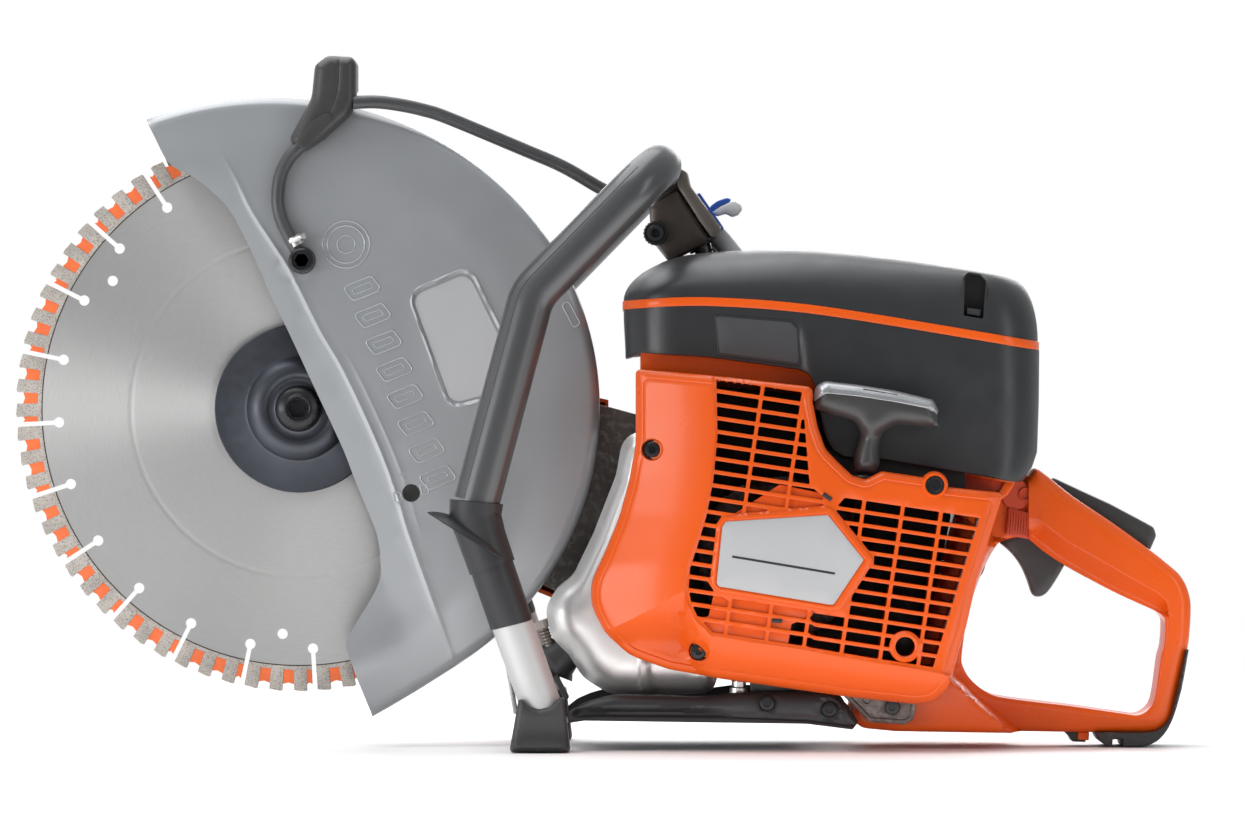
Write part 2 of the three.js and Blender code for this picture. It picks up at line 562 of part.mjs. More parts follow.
function waterParts() {
  const tap = new THREE.Group(); // the valve's own frame: its plate stands across X, facing the rear and up
  tap.position.set(61, VALVE_Y, 336);
  tap.rotation.y = radians(-30.3);
  saw.add(tap);
  const plate = box(0, 4, -24, 24, -23, 19);
  add("valve_bracket", castAlloy, plate, tap);
  const bodyShape = outline([[-28, -16, 3], [-28, 9, 3], [-10, 12, 3], [-GAP, 12], [-GAP, -20], [-20, -20, 4]]);
  add("valve_body", graphite, slab(bodyShape, -20, 20, 1), tap);
  const dial = rod(10, 4 + GAP, 8.5, 0, 0, 20).rotateZ(-Math.PI / 2).translate(0, 0, -3);
  const wing = box(6, 16, -3, 3, -3, 6);
  const arm = box(13, 16.5, -5, 5, -3, 20);
  add("valve_lever", blue, join(dial, wing, arm), tap);

  const supply = [
    [30, VALVE_Y, 331], [-1, 16, 345], [-50, 2, 369], [-94, -14, 387], [-125, -26, 395], [-149.5, -31.5, 396.5],
  ];
  add("guard_supply_hose", rubber, pipe(new BentPath(supply, 18, 2), 4, 0, 8));
  const HOSE_Y = 86;
  const inlet = [
    [52, VALVE_Y + 20.5, 318], [52, 62, 318], [76, HOSE_Y, 309], [94, HOSE_Y, 215], [140, HOSE_Y, 178],
    [181, HOSE_Y, 172],
  ];
  add("inlet_hose", rubber, pipe(new BentPath(inlet, 20, 3), 5, 0, 8));
  const coupling = turned([[0, 0], [9, 0], [9, 14], [11, 15], [11, 30], [7, 31], [7, 42], [0, 42]], 0, 0, 16);
  add("water_coupling", black, coupling.rotateZ(-Math.PI / 2).translate(182 + GAP, HOSE_Y, 172));
}

// ---- blade guard ----
// The rim is round about the hub over its middle and opens out towards both ends.
function rimRadius(angle) {
  const [top, bottom] = [radians(50), radians(-56)];
  if (angle > top) return GUARD_R + 15 * ((angle - top) / radians(67)) ** 2;
  if (angle < bottom) return GUARD_R + 10 * ((bottom - angle) / radians(21)) ** 2;
  return GUARD_R;
}

const RIM_ENDS = [radians(117.7), radians(-76.5)];
function rimPoints(inset, ends = RIM_ENDS, steps = 30) {
  return Array.from({ length: steps + 1 }, (_, i) => {
    const angle = ends[0] + ((ends[1] - ends[0]) * i) / steps;
    return polar(rimRadius(angle) - inset, angle);
  });
}

// Front edges of the two side walls, from the lower tip to the upper one, about the hub.
const NEAR_FRONT = [[29, -145, 14], [52, -108, 22], [50, -80, 22], [-24, 84, 30], [-52, 135, 30], [-79, 151, 4]];
const FAR_FRONT = [[10, -120, 30], [-46, -40, 30], [-50, 60, 30], [-70, 120, 20]];
const ABOUT_HUB = (geometry) => geometry.translate(HUB[0], 0, HUB[1]);

function guardShell(front, y0, y1, keep) {
  const wall = outline([...rimPoints(0), ...front]);
  const room = outline([...rimPoints(WALL), [-400, -250], [-400, 250]]);
  const middle = (y0 + y1) / 2;
  const [shellEnds, roomEnds] = middle < 0 ? [[y0, y1 + 20], [y0 + WALL, y1 + 40]] : [[y0 - 20, y1], [y0 - 40, y1 - WALL]];
  return common(cut(slab(wall, ...shellEnds, 2.5), slab(room, ...roomEnds)), keep);
}

function guardParts() {
  const reach = 260;
  const near = guardShell(NEAR_FRONT, -GUARD_Y, -GAP / 2, box(-reach, reach, -100, -GAP / 2, -reach, reach));
  const far = guardShell(FAR_FRONT, GAP / 2, GUARD_Y, box(-reach, reach, GAP / 2, 100, -reach, reach));
  const window = rod(5.5, -60, 0, 70, -52, 16);
  add("guard_left_shell", guardPaint, ABOUT_HUB(cut(near, window)));
  add("guard_right_shell", guardPaint, ABOUT_HUB(cut(far, rod(32, 0, 60, 0, 0, 28))));

  const SIDE = -GUARD_Y - GAP;
  const gripOutline = outline([
    [-174, 424, 6], [-150, 424, 6], [-150, 394, 10], [-160, 383, 10], [-184, 364], [-193, 374], [-177, 399, 14],
  ]);
  const lowPart = slab(gripOutline, -37, SIDE, 2);
  const topPart = common(slab(gripOutline, -37, 12, 2), box(-300, 0, -100, 100, 403, 500));
  add("guard_grip", graphite, join(lowPart, topPart));
  const hoseY = SIDE - 4.4;
  const route = [[-190.5, hoseY, 367], [-200, hoseY, 345], [-195, hoseY, 322], [-188.6, hoseY, 309]];
  add("guard_hose", rubber, pipe(new BentPath(route, 12, 3), 4, 0, 8));
  const nozzle = [[0, -38], [4, -38], [4, -36], [7.5, -35], [8, SIDE], [0, SIDE]];
  add("spray_nozzle", darkSteel, turned(nozzle, -184, 299, 16));
}

// ---- small controls on the far side ----
function farSideControls() {
  const valve = turned([[0, 48], [4, 48], [4, 52], [6, 53], [6, 68], [4, 70], [0, 70]], 70, 227, 16);
  add("decompression_valve", blue, valve);
  const knob = turned([[0, COVER_Y[1] + GAP], [4, COVER_Y[1] + GAP], [4, 76], [9, 77], [9, 84], [7, 86], [0, 86]], 236, 200, 16);
  add("choke_knob", blue, knob);
}

spindleBody();
driveParts();
crankParts();
engineParts();
intakeParts();
coverParts();
starterParts();
mufflerParts();
rearHandleParts();
frontHandleParts();
waterParts();
guardParts();
farSideControls();

export default saw;
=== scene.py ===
import json
import math

import bmesh
import bpy
import numpy as np
from mathutils import Matrix, Vector
from mathutils.geometry import delaunay_2d_cdt

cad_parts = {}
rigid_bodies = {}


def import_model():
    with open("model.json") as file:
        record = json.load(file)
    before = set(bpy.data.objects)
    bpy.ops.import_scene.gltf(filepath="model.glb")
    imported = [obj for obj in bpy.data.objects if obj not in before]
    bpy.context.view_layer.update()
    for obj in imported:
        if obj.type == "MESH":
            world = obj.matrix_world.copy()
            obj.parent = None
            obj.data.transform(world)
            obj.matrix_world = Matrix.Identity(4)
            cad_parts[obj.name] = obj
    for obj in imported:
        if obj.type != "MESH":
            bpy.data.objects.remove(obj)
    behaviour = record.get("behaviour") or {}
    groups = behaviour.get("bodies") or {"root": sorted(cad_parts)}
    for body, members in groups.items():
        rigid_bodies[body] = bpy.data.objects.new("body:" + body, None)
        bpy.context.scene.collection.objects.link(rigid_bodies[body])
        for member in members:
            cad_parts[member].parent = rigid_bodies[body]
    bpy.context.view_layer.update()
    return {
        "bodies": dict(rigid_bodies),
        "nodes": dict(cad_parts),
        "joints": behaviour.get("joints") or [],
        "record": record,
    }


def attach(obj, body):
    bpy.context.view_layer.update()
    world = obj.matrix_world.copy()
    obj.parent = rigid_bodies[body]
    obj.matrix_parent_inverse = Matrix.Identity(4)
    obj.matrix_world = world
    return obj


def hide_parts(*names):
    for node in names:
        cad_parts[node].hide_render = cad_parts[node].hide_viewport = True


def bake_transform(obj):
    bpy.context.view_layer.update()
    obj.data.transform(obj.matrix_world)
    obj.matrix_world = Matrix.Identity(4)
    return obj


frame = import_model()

MM = 0.001
NEAR, FAR = -1, 1  # the side of the saw that the photograph shows, and the other one
HUB = (-187, 208)
AXLE = (HUB[0], 0, HUB[1])

# ---- camera, world and lights (metres and watts) ----
CAMERA_AT = (0.013, -4.8, 0.204)
SENSOR, LENS = 36, 224.4  # millimetres
scene = bpy.context.scene
camera = bpy.data.objects.new("camera", bpy.data.cameras.new("camera"))
scene.collection.objects.link(camera)
scene.camera = camera
camera.location = CAMERA_AT
camera.rotation_euler = (math.radians(90), 0, 0)
camera.data.sensor_width, camera.data.lens = SENSOR, LENS
camera.data.clip_end = 50
camera.data.dof.use_dof = False
scene.view_settings.view_transform = "Standard"


def add_light(name, at, towards, size, power):
    data = bpy.data.lights.new(name, "AREA")
    data.shape, data.size, data.size_y, data.energy = "RECTANGLE", size[0], size[1], power
    lamp = bpy.data.objects.new(name, data)
    scene.collection.objects.link(lamp)
    lamp.location = at
    lamp.visible_camera = False
    lamp.rotation_euler = (Vector(towards) - Vector(at)).to_track_quat("-Z", "Y").to_euler()


add_light("left", (-1.7, -1.2, 0.24), (-0.05, 0, 0.21), (1.15, 0.55), 13.5)
add_light("top", (-0.45, 0.15, 2.0), (0, 0, 0.2), (2.6, 1.8), 46)
add_light("right", (1.7, -1.6, 0.5), (0, 0, 0.2), (0.5, 1.4), 7)
add_light("table", (-0.05, -0.34, 0.01), (-0.05, -0.34, 1), (1.5, 0.44), 2.3)
add_light("back", (0.3, 2.2, 1.2), (0, 0, 0.2), (2.0, 1.2), 22)

world = bpy.data.worlds.new("studio")
scene.world = world
world.use_nodes = True
w = world.node_tree
w.nodes.clear()


def world_node(kind, *inputs, **values):
    """A node of the world; each input is a value, a socket, or None to leave it alone."""
    node = w.nodes.new("ShaderNode" + kind)
    for key, value in values.items():
        setattr(node, key, value)
    for socket, value in zip(node.inputs, inputs):
        if isinstance(value, bpy.types.NodeSocket):
            w.links.new(value, socket)
        elif value is not None:
            socket.default_value = value
    return node


# the unseen studio is bright above, to the left and behind, and dim at the front: for each axis of the direction
# looked in, where the brightness starts to rise, where it is full, and how much it is there
STUDIO_DIM = 0.06
STUDIO_SPAN = {"X": (0.1, -0.9, 0.5), "Y": (-0.6, 0.5, 0.45), "Z": (0.0, 0.9, 0.45)}
w_axes = world_node("SeparateXYZ", world_node("TexCoord").outputs["Generated"])
w_gain = None
for axis, (low, high, gain) in STUDIO_SPAN.items():
    w_range = world_node("MapRange", w_axes.outputs[axis], low, high, STUDIO_DIM, gain).outputs[0]
    w_gain = w_range if w_gain is None else world_node("Math", w_gain, w_range).outputs[0]
w_seen = world_node("Background", (1, 1, 1, 1)).outputs[0]
w_lit = world_node("Background", (0.95, 0.97, 1, 1), w_gain).outputs[0]
w_mix = world_node("MixShader", world_node("LightPath").outputs["Is Camera Ray"], w_lit, w_seen)
world_node("OutputWorld", w_mix.outputs[0])


# ---- materials ----
class Nodes:
    """A small helper for building a node tree."""

    def __init__(self, name):
        self.material = bpy.data.materials.new(name)
        self.material.use_nodes = True
        self.tree = self.material.node_tree
        self.shader = self.tree.nodes["Principled BSDF"]
        self.place = self.new("TexCoord").outputs["Object"]

    def new(self, kind, inputs=None, **values):
        node = self.tree.nodes.new("ShaderNode" + kind)
        for key, value in values.items():
            setattr(node, key, value)
        for key, value in (inputs or {}).items():
            if isinstance(value, bpy.types.NodeSocket):
                self.tree.links.new(value, node.inputs[key])
            else:
                node.inputs[key].default_value = value
        return node

    def link(self, socket, name):
        self.tree.links.new(socket, self.shader.inputs[name])

    def noise(self, scale, detail=3, place=None):
        return self.new("TexNoise", {"Vector": place or self.place, "Scale": scale, "Detail": detail,
            "Roughness": 0.5}).outputs["Fac"]

    def ramp(self, fac, low, high, a=0.3, b=0.7):
        node = self.new("MapRange", {"Value": fac, "From Min": a, "From Max": b, "To Min": low, "To Max": high})
        return node.outputs["Result"]

    def mix(self, fac, a, b):
        node = self.new("Mix", data_type="RGBA")
        for key, value in ((0, fac), (6, a), (7, b)):
            if isinstance(value, bpy.types.NodeSocket):
                self.tree.links.new(value, node.inputs[key])
            else:
                node.inputs[key].default_value = value if key == 0 else (*value[:3], 1)
        return node.outputs[2]

    def bump(self, height, strength, distance):
        return self.new("Bump", {"Height": height, "Strength": strength, "Distance": distance}).outputs["Normal"]


def scaled(colour, factor):
    return tuple(min(1, c * factor) for c in colour)


def finish(name, colour, rough, metal=0.0, cloud=(14, 0.08), grain=(1400, 0.15, 0.0001), vary=0.06, specks=None,
        stretch=None, **sockets):
    """A moulded, painted or metal surface: slow colour clouds, specks, a varied roughness and a fine grain."""
    n = Nodes(name)
    place = n.place
    if stretch:
        place = n.new("Mapping", {"Vector": n.place, "Scale": stretch}).outputs["Vector"]
    base = n.mix(n.ramp(n.noise(cloud[0], 4), 0, 1), scaled(colour, 1 - cloud[1]), scaled(colour, 1 + cloud[1]))
    fine = n.noise(grain[0], 3, place)
    if specks:
        scale, amount, other = specks
        base = n.mix(n.ramp(n.noise(scale, 2, place), 0, amount, 0.52, 0.62), base, other)
    n.link(base, "Base Color")
    n.link(n.ramp(n.noise(cloud[0] * 6, 4, place), rough - vary, rough + vary), "Roughness")
    n.link(n.bump(fine, grain[1], grain[2]), "Normal")
    n.shader.inputs["Metallic"].default_value = metal
    for key, value in sockets.items():
        n.shader.inputs[key.replace("_", " ")].default_value = value
    return n.material


ORANGE = (0.72, 0.092, 0.004)
M = {
    "orange": finish("orange_gloss", ORANGE, 0.3, cloud=(9, 0.05), grain=(700, 0.12, 0.00012), vary=0.03,
        Specular_IOR_Level=0.3, Coat_Weight=0.12, Coat_Roughness=0.1),
    # the starter cover's orange: a darker copy of the orange, painted shade that takes back light falling on the
    # cover
    "orange_cover": finish("orange_cover", (0.60, 0.076, 0.004), 0.3, cloud=(9, 0.05), grain=(700, 0.12, 0.00012),
        vary=0.03, Specular_IOR_Level=0.3, Coat_Weight=0.1, Coat_Roughness=0.1),
    # a darker copy of the orange: painted shade, for parts that sit in shadow under the top cover
    "orange_dark": finish("orange_satin_painted_shade", (0.55, 0.05, 0.009), 0.42, cloud=(9, 0.06), grain=(700, 0.12, 0.0001)),
    "graphite": finish("graphite_satin", (0.020, 0.021, 0.023), 0.38, cloud=(11, 0.08), grain=(2200, 0.25, 0.00012),
        vary=0.05),
    "grip": finish("grip_plastic", (0.034, 0.033, 0.033), 0.40, cloud=(16, 0.1), grain=(1800, 0.3, 0.00015),
        vary=0.06),
    "grip_silver": finish("grip_silver", (0.33, 0.34, 0.35), 0.3, metal=0.6, cloud=(16, 0.06),
        grain=(1800, 0.2, 0.0001)),
    "black": finish("black_plastic", (0.012, 0.012, 0.013), 0.45, cloud=(20, 0.2), grain=(1600, 0.3, 0.00015)),
    "cast": finish("cast_aluminium", (0.28, 0.27, 0.26), 0.5, metal=0.85, cloud=(30, 0.25), grain=(420, 0.7, 0.0006),
        vary=0.12,
                   specks=(260, 0.5, (0.5, 0.48, 0.46))),
    "cast_dark": finish("cast_dark", (0.15, 0.135, 0.125), 0.5, metal=0.6, cloud=(24, 0.3), grain=(420, 0.7, 0.0006),
        vary=0.12,
                        specks=(220, 0.5, (0.3, 0.28, 0.26))),
    "guard": finish("guard_paint", (0.30, 0.31, 0.32), 0.36, metal=0.4, cloud=(7, 0.05), grain=(2600, 0.2, 0.00008),
        vary=0.04),
    "tube": finish("tube_aluminium", (0.44, 0.44, 0.435), 0.45, metal=0.3, cloud=(20, 0.04),
        grain=(600, 0.2, 0.0001), stretch=(1, 1, 0.08)),
    "muffler": finish("aluminised_steel", (0.66, 0.65, 0.64), 0.36, metal=0.75, cloud=(14, 0.07),
        grain=(500, 0.15, 0.0001), vary=0.05),
    "steel": finish("machined_steel", (0.55, 0.54, 0.53), 0.32, metal=1.0, cloud=(40, 0.1), grain=(900, 0.3, 0.0001)),
    "dark_steel": finish("dark_steel", (0.058, 0.062, 0.074), 0.40, metal=0.8, cloud=(30, 0.15),
        grain=(1200, 0.25, 0.0001)),
    "black_steel": finish("black_steel", (0.030, 0.030, 0.032), 0.36, metal=0.2, cloud=(18, 0.15),
        grain=(700, 0.2, 0.0002)),
    "bolt": finish("black_bolt", (0.02, 0.02, 0.022), 0.3, metal=0.6, cloud=(60, 0.2), grain=(1200, 0.2, 0.0001)),
    "rubber": finish("rubber", (0.026, 0.026, 0.027), 0.5, cloud=(30, 0.12), grain=(900, 0.5, 0.0003)),
    "sleeve": finish("handle_sleeve", (0.022, 0.0225, 0.024), 0.42, cloud=(12, 0.06), grain=(2000, 0.15, 0.00008),
        vary=0.04, Specular_IOR_Level=0.3),
    "grip_gloss": finish("grip_gloss", (0.085, 0.086, 0.088), 0.30, metal=0.5, cloud=(12, 0.04),
        grain=(2000, 0.05, 0.00003), vary=0.012),
    "valve": finish("valve_body_metal", (0.075, 0.060, 0.050), 0.34, metal=0.5, cloud=(26, 0.12),
        grain=(900, 0.3, 0.0002), vary=0.05),
    "plate": finish("bracket_metal", (0.20, 0.175, 0.155), 0.32, metal=0.75, cloud=(26, 0.12),
        grain=(900, 0.3, 0.0002), vary=0.05),
    "hose": finish("hose_rubber", (0.05, 0.051, 0.053), 0.38, cloud=(30, 0.12), grain=(700, 0.3, 0.0002)),
    "hose_light": finish("hose_light", (0.42, 0.42, 0.42), 0.45, cloud=(30, 0.12), grain=(700, 0.3, 0.0002)),
    "rope": finish("braided_rope", (0.03, 0.03, 0.03), 0.8, cloud=(200, 0.3), grain=(1500, 1.0, 0.0006)),
    "blue": finish("blue_plastic", (0.02, 0.09, 0.42), 0.35, cloud=(40, 0.1), grain=(900, 0.2, 0.0001)),
    "pale": finish("pale_plastic", (0.60, 0.61, 0.62), 0.36, cloud=(20, 0.04), grain=(1500, 0.15, 0.0001), vary=0.03),
    "label": finish("label_film", (0.36, 0.365, 0.37), 0.42, cloud=(12, 0.03), grain=(2500, 0.08, 0.00005),
        vary=0.03),
    "label_dark": finish("label_dark", (0.052, 0.054, 0.058), 0.42, cloud=(12, 0.05), grain=(2500, 0.08, 0.00005)),
    "ceramic": finish("ceramic", (0.7, 0.69, 0.66), 0.25, cloud=(40, 0.04), grain=(900, 0.1, 0.00005)),
    "filter": finish("filter_paper", (0.75, 0.66, 0.42), 0.8, cloud=(60, 0.1), grain=(900, 0.6, 0.0004)),
    "bulb": finish("primer_bulb", (0.5, 0.5, 0.48), 0.25, cloud=(40, 0.05), grain=(600, 0.1, 0.0001),
        Transmission_Weight=0.35),
    "segment": finish("diamond_segment", (0.40, 0.365, 0.33), 0.6, metal=0.1, cloud=(60, 0.15),
        grain=(1300, 0.9, 0.0005), specks=(1100, 0.7, (0.16, 0.14, 0.125))),
    "orange_matt": finish("orange_fill", (0.72, 0.13, 0.03), 0.6, cloud=(60, 0.1), grain=(900, 0.5, 0.0003)),
}


# ---- shapes in the side plane, in millimetres (x to the right, z up) ----
def rounded(corners, closed=True, step=0.22):
    """A polygon from corners (x, z) or (x, z, radius); step is the turn per point in radians."""
    out, n = [], len(corners)
    for i, c in enumerate(corners):
        r = c[2] if len(c) > 2 else 0
        p = Vector(c[:2])
        if r <= 0 or (not closed and i in (0, n - 1)):
            out.append(tuple(p))
            continue
        u, v = Vector(corners[i - 1][:2]) - p, Vector(corners[(i + 1) % n][:2]) - p
        lu, lv = u.length, v.length
        u.normalize()
        v.normalize()
        angle = math.acos(max(-1, min(1, u.dot(v))))
        if angle > math.pi - 0.02:
            out.append(tuple(p))
            continue
        t = min(r / math.tan(angle / 2), 0.49 * lu, 0.49 * lv)
        r = t * math.tan(angle / 2)
        centre = p + (u + v).normalized() * (r / math.sin(angle / 2))
        a, b = p + u * t - centre, p + v * t - centre
        a0 = math.atan2(a.y, a.x)
        turn = (math.atan2(b.y, b.x) - a0 + math.pi) % (2 * math.pi) - math.pi
        k = max(2, int(abs(turn) / step) + 1)
        out += [(centre.x + r * math.cos(a0 + turn * j / k), centre.y + r * math.sin(a0 + turn * j / k))
            for j in range(k + 1)]
    return np.array(out, float)


def curve(points, closed=False, n=8):
    """A smooth curve through the points (Catmull-Rom), in two or three dimensions."""
    p = np.array(points, float)
    if closed:
        p = np.vstack([p[-1:], p, p[:2]])
    else:
        p = np.vstack([2 * p[:1] - p[1:2], p, 2 * p[-1:] - p[-2:-1]])
    out = []
    for i in range(1, len(p) - 2):
        for j in range(n):
            t = j / n
            a, b, c, d = p[i - 1], p[i], p[i + 1], p[i + 2]
            out.append(0.5 * (2 * b + (c - a) * t + (2 * a - 5 * b + 4 * c - d) * t * t + (3 * b - a - 3 * c + d)
                * t ** 3))
    if not closed:
        out.append(p[-2])
    return np.array(out)


def box(x0, z0, x1, z1, r):
    """An upright rectangle with rounded corners."""
    return rounded([(x0, z0, r), (x1, z0, r), (x1, z1, r), (x0, z1, r)])


def circle(x, z, r, n=24, start=0.0):
    a = start + np.arange(n) * 2 * np.pi / n
    return np.stack([x + r * np.cos(a), z + r * np.sin(a)], 1)


def dense(poly, step, closed=True):
    out = []
    ends = np.roll(poly, -1, 0) if closed else poly[1:]
    for a, b in zip(poly, ends):
        k = max(1, int(math.ceil(np.linalg.norm(b - a) / step)))
        out += [a + (b - a) * j / k for j in range(k)]
    if not closed:
        out.append(poly[-1])
    return np.array(out)


def distance(P, poly, closed=True):
    """Distance from each point to a polygon's line."""
    A = poly if closed else poly[:-1]
    B = np.roll(poly, -1, 0) if closed else poly[1:]
    D = B - A
    L = np.maximum((D ** 2).sum(1), 1e-12)
    out = np.empty(len(P))
    for i in range(0, len(P), 3000):
        Q = P[i:i + 3000, None] - A[None]
        t = np.clip((Q * D).sum(2) / L, 0, 1)
        out[i:i + 3000] = np.sqrt(((Q - t[..., None] * D) ** 2).sum(2).min(1))
    return out


def inside(P, poly):
    x, z = P.T
    hit = np.zeros(len(P), bool)
    for (x0, z0), (x1, z1) in zip(poly, np.roll(poly, -1, 0)):
        if z0 != z1:
            hit ^= ((z0 > z) != (z1 > z)) & (x < (x1 - x0) * (z - z0) / (z1 - z0) + x0)
    return hit


def area(poly):
    x, z = poly.T
    return 0.5 * float((x * np.roll(z, -1) - z * np.roll(x, -1)).sum())


def reach(P, at):
    """Distance from each point to one place."""
    return np.hypot(P[:, 0] - at[0], P[:, 1] - at[1])


def smooth(t):
    t = np.clip(t, 0, 1)
    return t * t * (3 - 2 * t)


def roll(d, radius, depth=None):
    """How far a rounded edge falls away at a distance d inside the outline."""
    t = np.clip(1 - np.asarray(d, float) / radius, 0, 1)
    return (depth or radius) * (1 - np.sqrt(np.clip(1 - t * t, 0, 1)))


def normals(along):
    """Unit vectors to the left of each row's direction."""
    return np.stack([-along[:, 1], along[:, 0]], 1) / np.maximum(np.linalg.norm(along, axis=1)[:, None], 1e-9)


def fill(outline, holes=(), rings=(0.3, 1, 2, 3.5), grid=4.0, lines=(), hole_rings=True):
    """Triangles over an outline with holes, with extra rows of points along the edges and along any feature lines."""
    if area(outline) < 0:
        outline = outline[::-1]
    loops = [dense(outline, grid)] + [dense(h, grid) for h in holes]
    pts, edges = [], []
    for loop in loops:
        first, k = len(pts), len(loop)
        pts += list(loop)
        edges += [(first + i, first + (i + 1) % k) for i in range(k)]
    every = loops if hole_rings else loops[:1]

    def within(q, edge=outline):
        ok = inside(q, edge)
        for h in loops[1:]:
            ok &= ~inside(q, h)
        return ok

    room = []
    for r in rings:
        for loop, sign in [(every[0], 1)] + [(h, 1 if area(h) < 0 else -1) for h in every[1:]]:
            room.append((loop + normals(np.roll(loop, -1, 0) - np.roll(loop, 1, 0)) * sign * r, r * 0.97))
    keep = []
    for q, least in room:
        ok = within(q)
        for loop in every:
            ok &= distance(q, loop) >= least
        if not hole_rings:
            for h in loops[1:]:
                ok &= distance(q, h) > min(0.6, grid * 0.2)
        keep.append(q[ok])
    for line, closed, offsets in lines:
        line = dense(line, grid * 0.7, closed)
        aside = normals(np.gradient(line, axis=0))
        for o in offsets:
            q = line + aside * o
            ok = within(q) & (distance(q, loops[0]) > 0.5)
            for h in loops[1:]:
                ok &= distance(q, h) > 0.4
            keep.append(q[ok])
    lo, hi = outline.min(0), outline.max(0)
    gx, gz = np.meshgrid(np.arange(lo[0], hi[0], grid), np.arange(lo[1], hi[1], grid * 0.866))
    gx = gx + (np.arange(gx.shape[0]) % 2)[:, None] * grid / 2
    q = np.stack([gx.ravel(), gz.ravel()], 1)
    q = q[within(q)]
    margin = (rings[-1] if rings else 0) + grid * 0.4
    ok = np.ones(len(q), bool)
    for loop in every:
        ok &= distance(q, loop) > margin
    for h in loops[1:]:
        ok &= distance(q, h) > grid * 0.35
    for line, closed, offsets in lines:
        ok &= distance(q, line, closed) > max(map(abs, offsets)) + grid * 0.35
    keep.append(q[ok])
    pts = np.vstack([np.array(pts)] + [k for k in keep if len(k)])
    verts, _, faces, *_ = delaunay_2d_cdt([Vector(p) for p in pts], edges, [], 0, 1e-4)
    P = np.array([tuple(v) for v in verts])
    F = np.array([tuple(f) for f in faces])
    return P, F[within(P[F].mean(1), loops[0])]


# ---- meshes ----
class Geo:
    """Vertices in millimetres, faces, and a material number for each face."""

    def __init__(self, v=(), f=(), m=0):
        self.v, self.f = [tuple(map(float, p)) for p in v], [tuple(map(int, x)) for x in f]
        self.m = [m] * len(self.f)

    def __add__(self, other):
        out = Geo()
        n = len(self.v)
        out.v, out.f, out.m = self.v + other.v, self.f + [tuple(i + n for i in x) for x in other.f], self.m + other.m
        return out

    def moved(self, matrix):
        out = Geo()
        out.v, out.f, out.m = [tuple(matrix @ Vector(p)) for p in self.v], list(self.f), list(self.m)
        if matrix.to_3x3().determinant() < 0:
            out.f = [x[::-1] for x in out.f]
        return out

    def mirrored(self):
        return self.moved(Matrix.Diagonal((1, -1, 1, 1)))


def skin(rings, m=0, caps=True):
    """A surface through rings of equal length."""
    n = len(rings[0])
    v = [p for r in rings for p in r]
    f = []
    for k in range(len(rings) - 1):
        for i in range(n):
            j = (i + 1) % n
            f.append((k * n + i, k * n + j, (k + 1) * n + j, (k + 1) * n + i))
    if caps:
        f += [tuple(range(n))[::-1], tuple((len(rings) - 1) * n + i for i in range(n))]
    return Geo(v, f, m)


def turned(profile, at=(0, 0, 0), axis=(0, 1, 0), sides=40, m=0, caps=True):
    """A lathed shape; profile rows are (radius, along), or (radius, along, corners) for a polygonal socket."""
    axis = Vector(axis).normalized()
    u = axis.orthogonal().normalized() if abs(axis.y) < 0.99 else Vector((1, 0, 0))
    w = axis.cross(u)
    rings = []
    for row in profile:
        r, along, ring = max(row[0], 0.02), row[1], []
        for i in range(sides):
            a = 2 * math.pi * i / sides
            k = r
            if len(row) > 2:
                sector = 2 * math.pi / row[2]
                k = r * math.cos(sector / 2) / math.cos(a % sector - sector / 2)
            ring.append(Vector(at) + axis * along + (u * math.cos(a) + w * math.sin(a)) * k)
        rings.append(ring)
    return skin(rings, m, caps)


def tube(path, radius, sides=20):
    """A round bar along a path; radius is a number or one for each point."""
    p = [Vector(q) for q in path]
    radii = [radius] * len(p) if isinstance(radius, (int, float)) else list(radius)
    rings, u = [], None
    for i, q in enumerate(p):
        t = (p[min(i + 1, len(p) - 1)] - p[max(i - 1, 0)]).normalized()
        u = (t.orthogonal() if u is None else u - t * u.dot(t)).normalized()
        w = t.cross(u)
        rings.append([q + (u * math.cos(a) + w * math.sin(a)) * radii[i] for a in (2 * math.pi * k / sides
            for k in range(sides))])
    return skin(rings)


def bent(corners, step=0.12):
    """A path in space with rounded corners: (x, y, z) or (x, y, z, radius)."""
    out, n = [], len(corners)
    for i, c in enumerate(corners):
        p, r = Vector(c[:3]), c[3] if len(c) > 3 else 0
        if r <= 0 or i in (0, n - 1):
            out.append(p)
            continue
        u, v = Vector(corners[i - 1][:3]) - p, Vector(corners[i + 1][:3]) - p
        lu, lv = u.length, v.length
        u.normalize()
        v.normalize()
        angle = u.angle(v)
        t = min(r / math.tan(angle / 2), 0.49 * lu, 0.49 * lv)
        r = t * math.tan(angle / 2)
        centre = p + (u + v).normalized() * (r / math.sin(angle / 2))
        a, b = p + u * t - centre, p + v * t - centre
        k = max(2, int((math.pi - angle) / step) + 1)
        out += [centre + a.normalized().slerp(b.normalized(), j / k) * a.length for j in range(k + 1)]
    return out


def values(field, P):
    """A field at the points; it is a function of them, or a number."""
    return field(P) if callable(field) else np.full(len(P), float(field))


def relief(outline, height, back, holes=(), side=NEAR, m=0, **how):
    """A closed solid: a height field y = height over an outline, walls, and a back at y = back."""
    P, F = fill(outline, holes, **how)
    front, rear = values(height, P), values(back, P)
    n = len(P)
    v = np.vstack([np.stack([P[:, 0], front, P[:, 1]], 1), np.stack([P[:, 0], rear, P[:, 1]], 1)])
    tri = F if side == NEAR else F[:, ::-1]
    faces = [tuple(t) for t in tri] + [tuple(t[::-1] + n) for t in tri]
    for a, b in rim_edges(tri):
        faces.append((b, a, a + n, b + n))
    return Geo(v, faces, m)


def rim_edges(tri):
    seen = {}
    for t in tri:
        for a, b in ((t[0], t[1]), (t[1], t[2]), (t[2], t[0])):
            seen[(a, b)] = True
    return [(a, b) for a, b in seen if (b, a) not in seen]


